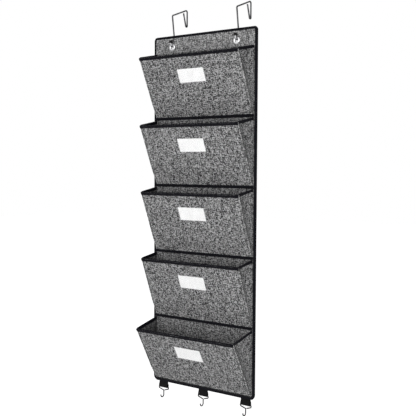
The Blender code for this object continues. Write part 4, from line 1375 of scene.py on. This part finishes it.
# %% Stitch tree
STITCH_LENGTH = 0.0026
THREAD = 0.0005
stitch_tree, hand, start, end = new_tree(
    "lock_stitch",
    "Geometry",
    (
        ("Seam line", "Geometry", None),
        ("Pitch", "Float", STITCH_PITCH),
        ("Stitch length", "Float", STITCH_LENGTH),
        ("Thread", "Float", THREAD),
        ("Finish", "Material", None),
    ),
    (("Stitches", "Geometry"),),
)
line = hand.add("GeometryNodeMeshToCurve", {"Mesh": start["Seam line"]}).outputs[0]
inputs = {"Curve": line, "Length": start["Pitch"]}
dots = hand.add("GeometryNodeResampleCurve", inputs, mode="LENGTH").outputs[0]
bead = hand.add("GeometryNodeMeshIcoSphere", {"Radius": 0.5, "Subdivisions": 1}).outputs[0]
smooth = hand.add("GeometryNodeSetShadeSmooth", {"Geometry": bead}).outputs[0]
size = hand.vector(start["Stitch length"], start["Thread"], start["Thread"])
way = hand.add("GeometryNodeInputTangent").outputs[0]
aim = hand.add("FunctionNodeAlignRotationToVector", {"Vector": way}, axis="X").outputs[0]
inputs = {"Points": dots, "Instance": smooth, "Rotation": aim, "Scale": size}
placed = hand.add("GeometryNodeInstanceOnPoints", inputs)
end_tree(hand, placed.outputs[0], start["Finish"], end)


def stitches(name, lines):
    """Sews every line of points with black thread and returns one piece."""
    inputs = {"Pitch": STITCH_PITCH, "Stitch length": STITCH_LENGTH, "Thread": THREAD}
    return run_tree(name, stitch_tree, lines, thread, inputs)


# %% [markdown]
# ## Sewing
# The panel is sewn all round on both faces, along both edges of each seam tape, and in a crossed box
# through each strap. A front is sewn through its rim on both faces and down its two side grooves.
# What moves together is one piece of thread, because the export wants one mesh for each body.

# %% Sewing
SEAM_IN = TAPE_WIDTH * SEAM_SHARE
RIM_THREAD_DEPTH = -0.0049
GROOVE_DEPTH = -0.0011
GROOVE_IN = 0.0045
panel_lines = []
for depth in (TAPE_FRONT + 0.0001, TAPE_BACK - 0.0001):
    outline = [Vector((x, depth, z)) for x, z in panel_outline(SEAM_IN)]
    panel_lines.append(outline + outline[:1])
for seam in seam_tapes:
    left, right, middle, width = seam_box(seam)
    for share in (-SEWN_SHARE, SEWN_SHARE):
        z = middle + share * width
        panel_lines.append([Vector((x, TAPE_FRONT + 0.00005, z)) for x in spread(left, right, 40)])
for _, side in LOOP_PLACES:
    y = LOOP_MIDDLE_Y + WEBBING + SEAT_GAP / 2
    near, far = side * LOOP_X - WEBBING_WIDTH / 2 + 0.003, side * LOOP_X + WEBBING_WIDTH / 2 - 0.003
    low, high = PANEL_BOTTOM + 0.003, PANEL_BOTTOM + 0.019
    box = [(near, low), (far, low), (far, high), (near, high), (near, low), (far, high)]
    panel_lines += [[Vector((x, y, z)) for x, z in corners] for corners in (box, [(near, high), (far, low)])]
panel_thread = stitches("panel_stitches", panel_lines)


def front_lines(pocket):
    """The seam lines of one front, at its open place."""
    lines = []
    for depth in (RIM_THREAD_DEPTH, FRONT_INNER + SEAT_GAP + TAPE - 0.0001):
        rim = spread(-FRONT_HALF + 0.012, FRONT_HALF - 0.012, 40)
        lines.append([(x, depth, FRONT_LENGTH - SEAM_IN) for x in rim])
    for side in (-1, 1):
        heights = spread(0.008, FRONT_LENGTH - TAPE_WIDTH, 60)
        lines.append([(side * (front_half_at(z) - GROOVE_IN), GROOVE_DEPTH, z) for z in heights])
    return [[on_front(pocket) @ Vector(point) for point in line] for line in lines]


front_threads = {pocket: stitches(f"pocket_{pocket}_stitches", front_lines(pocket)) for pocket in POCKETS}
print("panel thread has", len(panel_thread.data.polygons), "faces")

# %% [markdown]
# ## Studio
# The organizer hangs in a white room. The floor is far below it and pale, and the world is white to
# the camera and dim to everything else, so that the background stays white while three large lamps
# give the cloth its light: one high, one low, and one from the side of the gussets.

# %% Studio
WORLD_LIGHT = 0.28
FLOOR_LIFT = 0.75
FLOOR_Z = PANEL_BOTTOM - 0.22
LAMPS = {
    "key_lamp": ((0.7, -2.65, 0.10), (0.0, 0.0, -0.45), 1.6, 38.0),
    "low_lamp": ((-0.4, -2.4, -1.05), (0.0, 0.0, -0.6), 1.2, 14.0),
    "fill_lamp": ((2.6, -0.9, -0.5), (0.0, 0.0, -0.5), 1.4, 17.0),
}


def seen_directly(hand):
    """1 for the rays that see the background: the camera's, mirrored ones and those through plastic."""
    rays = hand.add("ShaderNodeLightPath").outputs
    seen = hand.calc("MAXIMUM", rays["Is Camera Ray"], rays["Is Transmission Ray"])
    return hand.calc("MAXIMUM", seen, rays["Is Glossy Ray"])


world = bpy.data.worlds.new("white_room")
scene.world = world
world.use_nodes = True
hand = NodeHand(world.node_tree)
sky = world.node_tree.nodes["Background"]
sky.inputs["Color"].default_value = (1.0, 1.0, 1.0, 1.0)
hand.feed(sky, "Strength", hand.scaled(seen_directly(hand), 1.0 - WORLD_LIGHT, WORLD_LIGHT))

floor_white, hand, shader = new_material("pale_floor", 0.7)
shader.inputs["Base Color"].default_value = (0.88, 0.88, 0.88, 1.0)
shader.inputs["Emission Color"].default_value = (1.0, 1.0, 1.0, 1.0)
hand.feed(shader, "Emission Strength", hand.times(seen_directly(hand), FLOOR_LIFT))
floor_corners = [(x * 9, z * 9, FLOOR_Z) for x, z in CORNERS]
piece_from("studio_floor", floor_corners, [(0, 1, 2, 3)], floor_white)

for name, (place, target, size, power) in LAMPS.items():
    lamp = bpy.data.lights.new(name, "AREA")
    lamp.size = size
    lamp.energy = power
    holder = bpy.data.objects.new(name, lamp)
    holder.location = place
    holder.rotation_euler = (Vector(place) - Vector(target)).to_track_quat("Z", "Y").to_euler()
    scene.collection.objects.link(holder)
print(len(LAMPS), "lamps")

# %% [markdown]
# ## Handing over to the frame
# Each piece rides on the body that carries it and stands for the solid that it dresses. A list of all
# four keeps these facts in one place, where a mistake is easy to see.

# %% Bodies, slots and solids
dressed = [
    (panel_cloth, "root", "tweed", "panel_face"),
    (panel_lining_cloth, "root", "lining", "panel_lining"),
    (panel_edge_tape, "root", "tape", "panel_binding"),
    (panel_thread, "root", "tape", None),
]
dressed += [(tape, "root", "tape", f"seam_strip_{seam}") for seam, tape in seam_tapes.items()]
for pocket in POCKETS:
    front = f"pocket_{pocket}_front"
    dressed += [
        (sleeves[pocket], front, "tweed", f"{front}_cover"),
        (stiffeners[pocket], front, "board", f"{front}_board"),
        (rims[pocket], front, "tape", f"pocket_{pocket}_rim_binding"),
        (front_threads[pocket], front, "tape", None),
    ]
for side_name, _ in SIDES:
    hook = f"hook_{side_name}"
    dressed += [
        (eyelets[side_name], "root", "wire", f"grommet_{side_name}"),
        (washers[side_name], "root", "wire", f"grommet_washer_{side_name}"),
        (door_wires[side_name], hook, "wire", f"over_door_{hook}"),
        (caps[side_name], hook, "cap", f"hook_cap_{side_name}"),
    ]
for side_name, _ in LOOP_PLACES:
    key_hook = f"key_hook_{side_name}"
    dressed += [
        (straps[side_name], "root", "webbing", f"webbing_loop_{side_name}"),
        (key_wires[side_name], key_hook, "wire", key_hook),
    ]
for piece, body, slot, node in dressed:
    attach(piece, body)
    if node:
        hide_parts(node)
print(len(dressed), "pieces ride on their bodies")

# %% [markdown]
# ## Gussets on their bodies
# When a pocket folds shut, its gussets are pressed flat between the front and the panel. Here each
# half and its tape ride on what carries them, the rear one on the panel and the other one on the
# front, each gets a mesh of its own, and the rear half hides the gusset's solid.

# %% Gusset halves on their bodies
for (pocket, side_name, part), gusset in gussets.items():
    body, axis, anchor = "root", Vector((0, 1, 0)), Vector((0, FACE_FRONT - SEAT_GAP, 0))
    if part == "fore":
        body, axis = f"pocket_{pocket}_front", on_front(pocket).to_3x3() @ axis
        anchor = on_front(pocket) @ Vector((0, FRONT_INNER, 0))
    for piece, slot in ((gusset, "tweed"), (gusset_tapes[(pocket, side_name, part)], "tape")):
        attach(piece, body)
        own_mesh(piece)
    if part == "rear":
        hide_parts(f"pocket_{pocket}_gusset_{side_name}")
print(len(gussets), "gusset halves flatten with their tapes")

# %% [markdown]
# ## Sheets of cloth
# A gusset half is cut as a triangle, so its area is a share of the rectangle round it. Here each
# half's width and the cloth that holds it are worked out, and the sheets are counted.

# %% Sheets of cloth
for (pocket, side_name, part), gusset in gussets.items():
    width = POCKET_DEPTHS[pocket] / 2 + 0.004
    holder = "panel_cloth" if part == "rear" else sleeves[pocket].name
print(2 + len(sleeves) + len(gussets), "sheets of cloth")
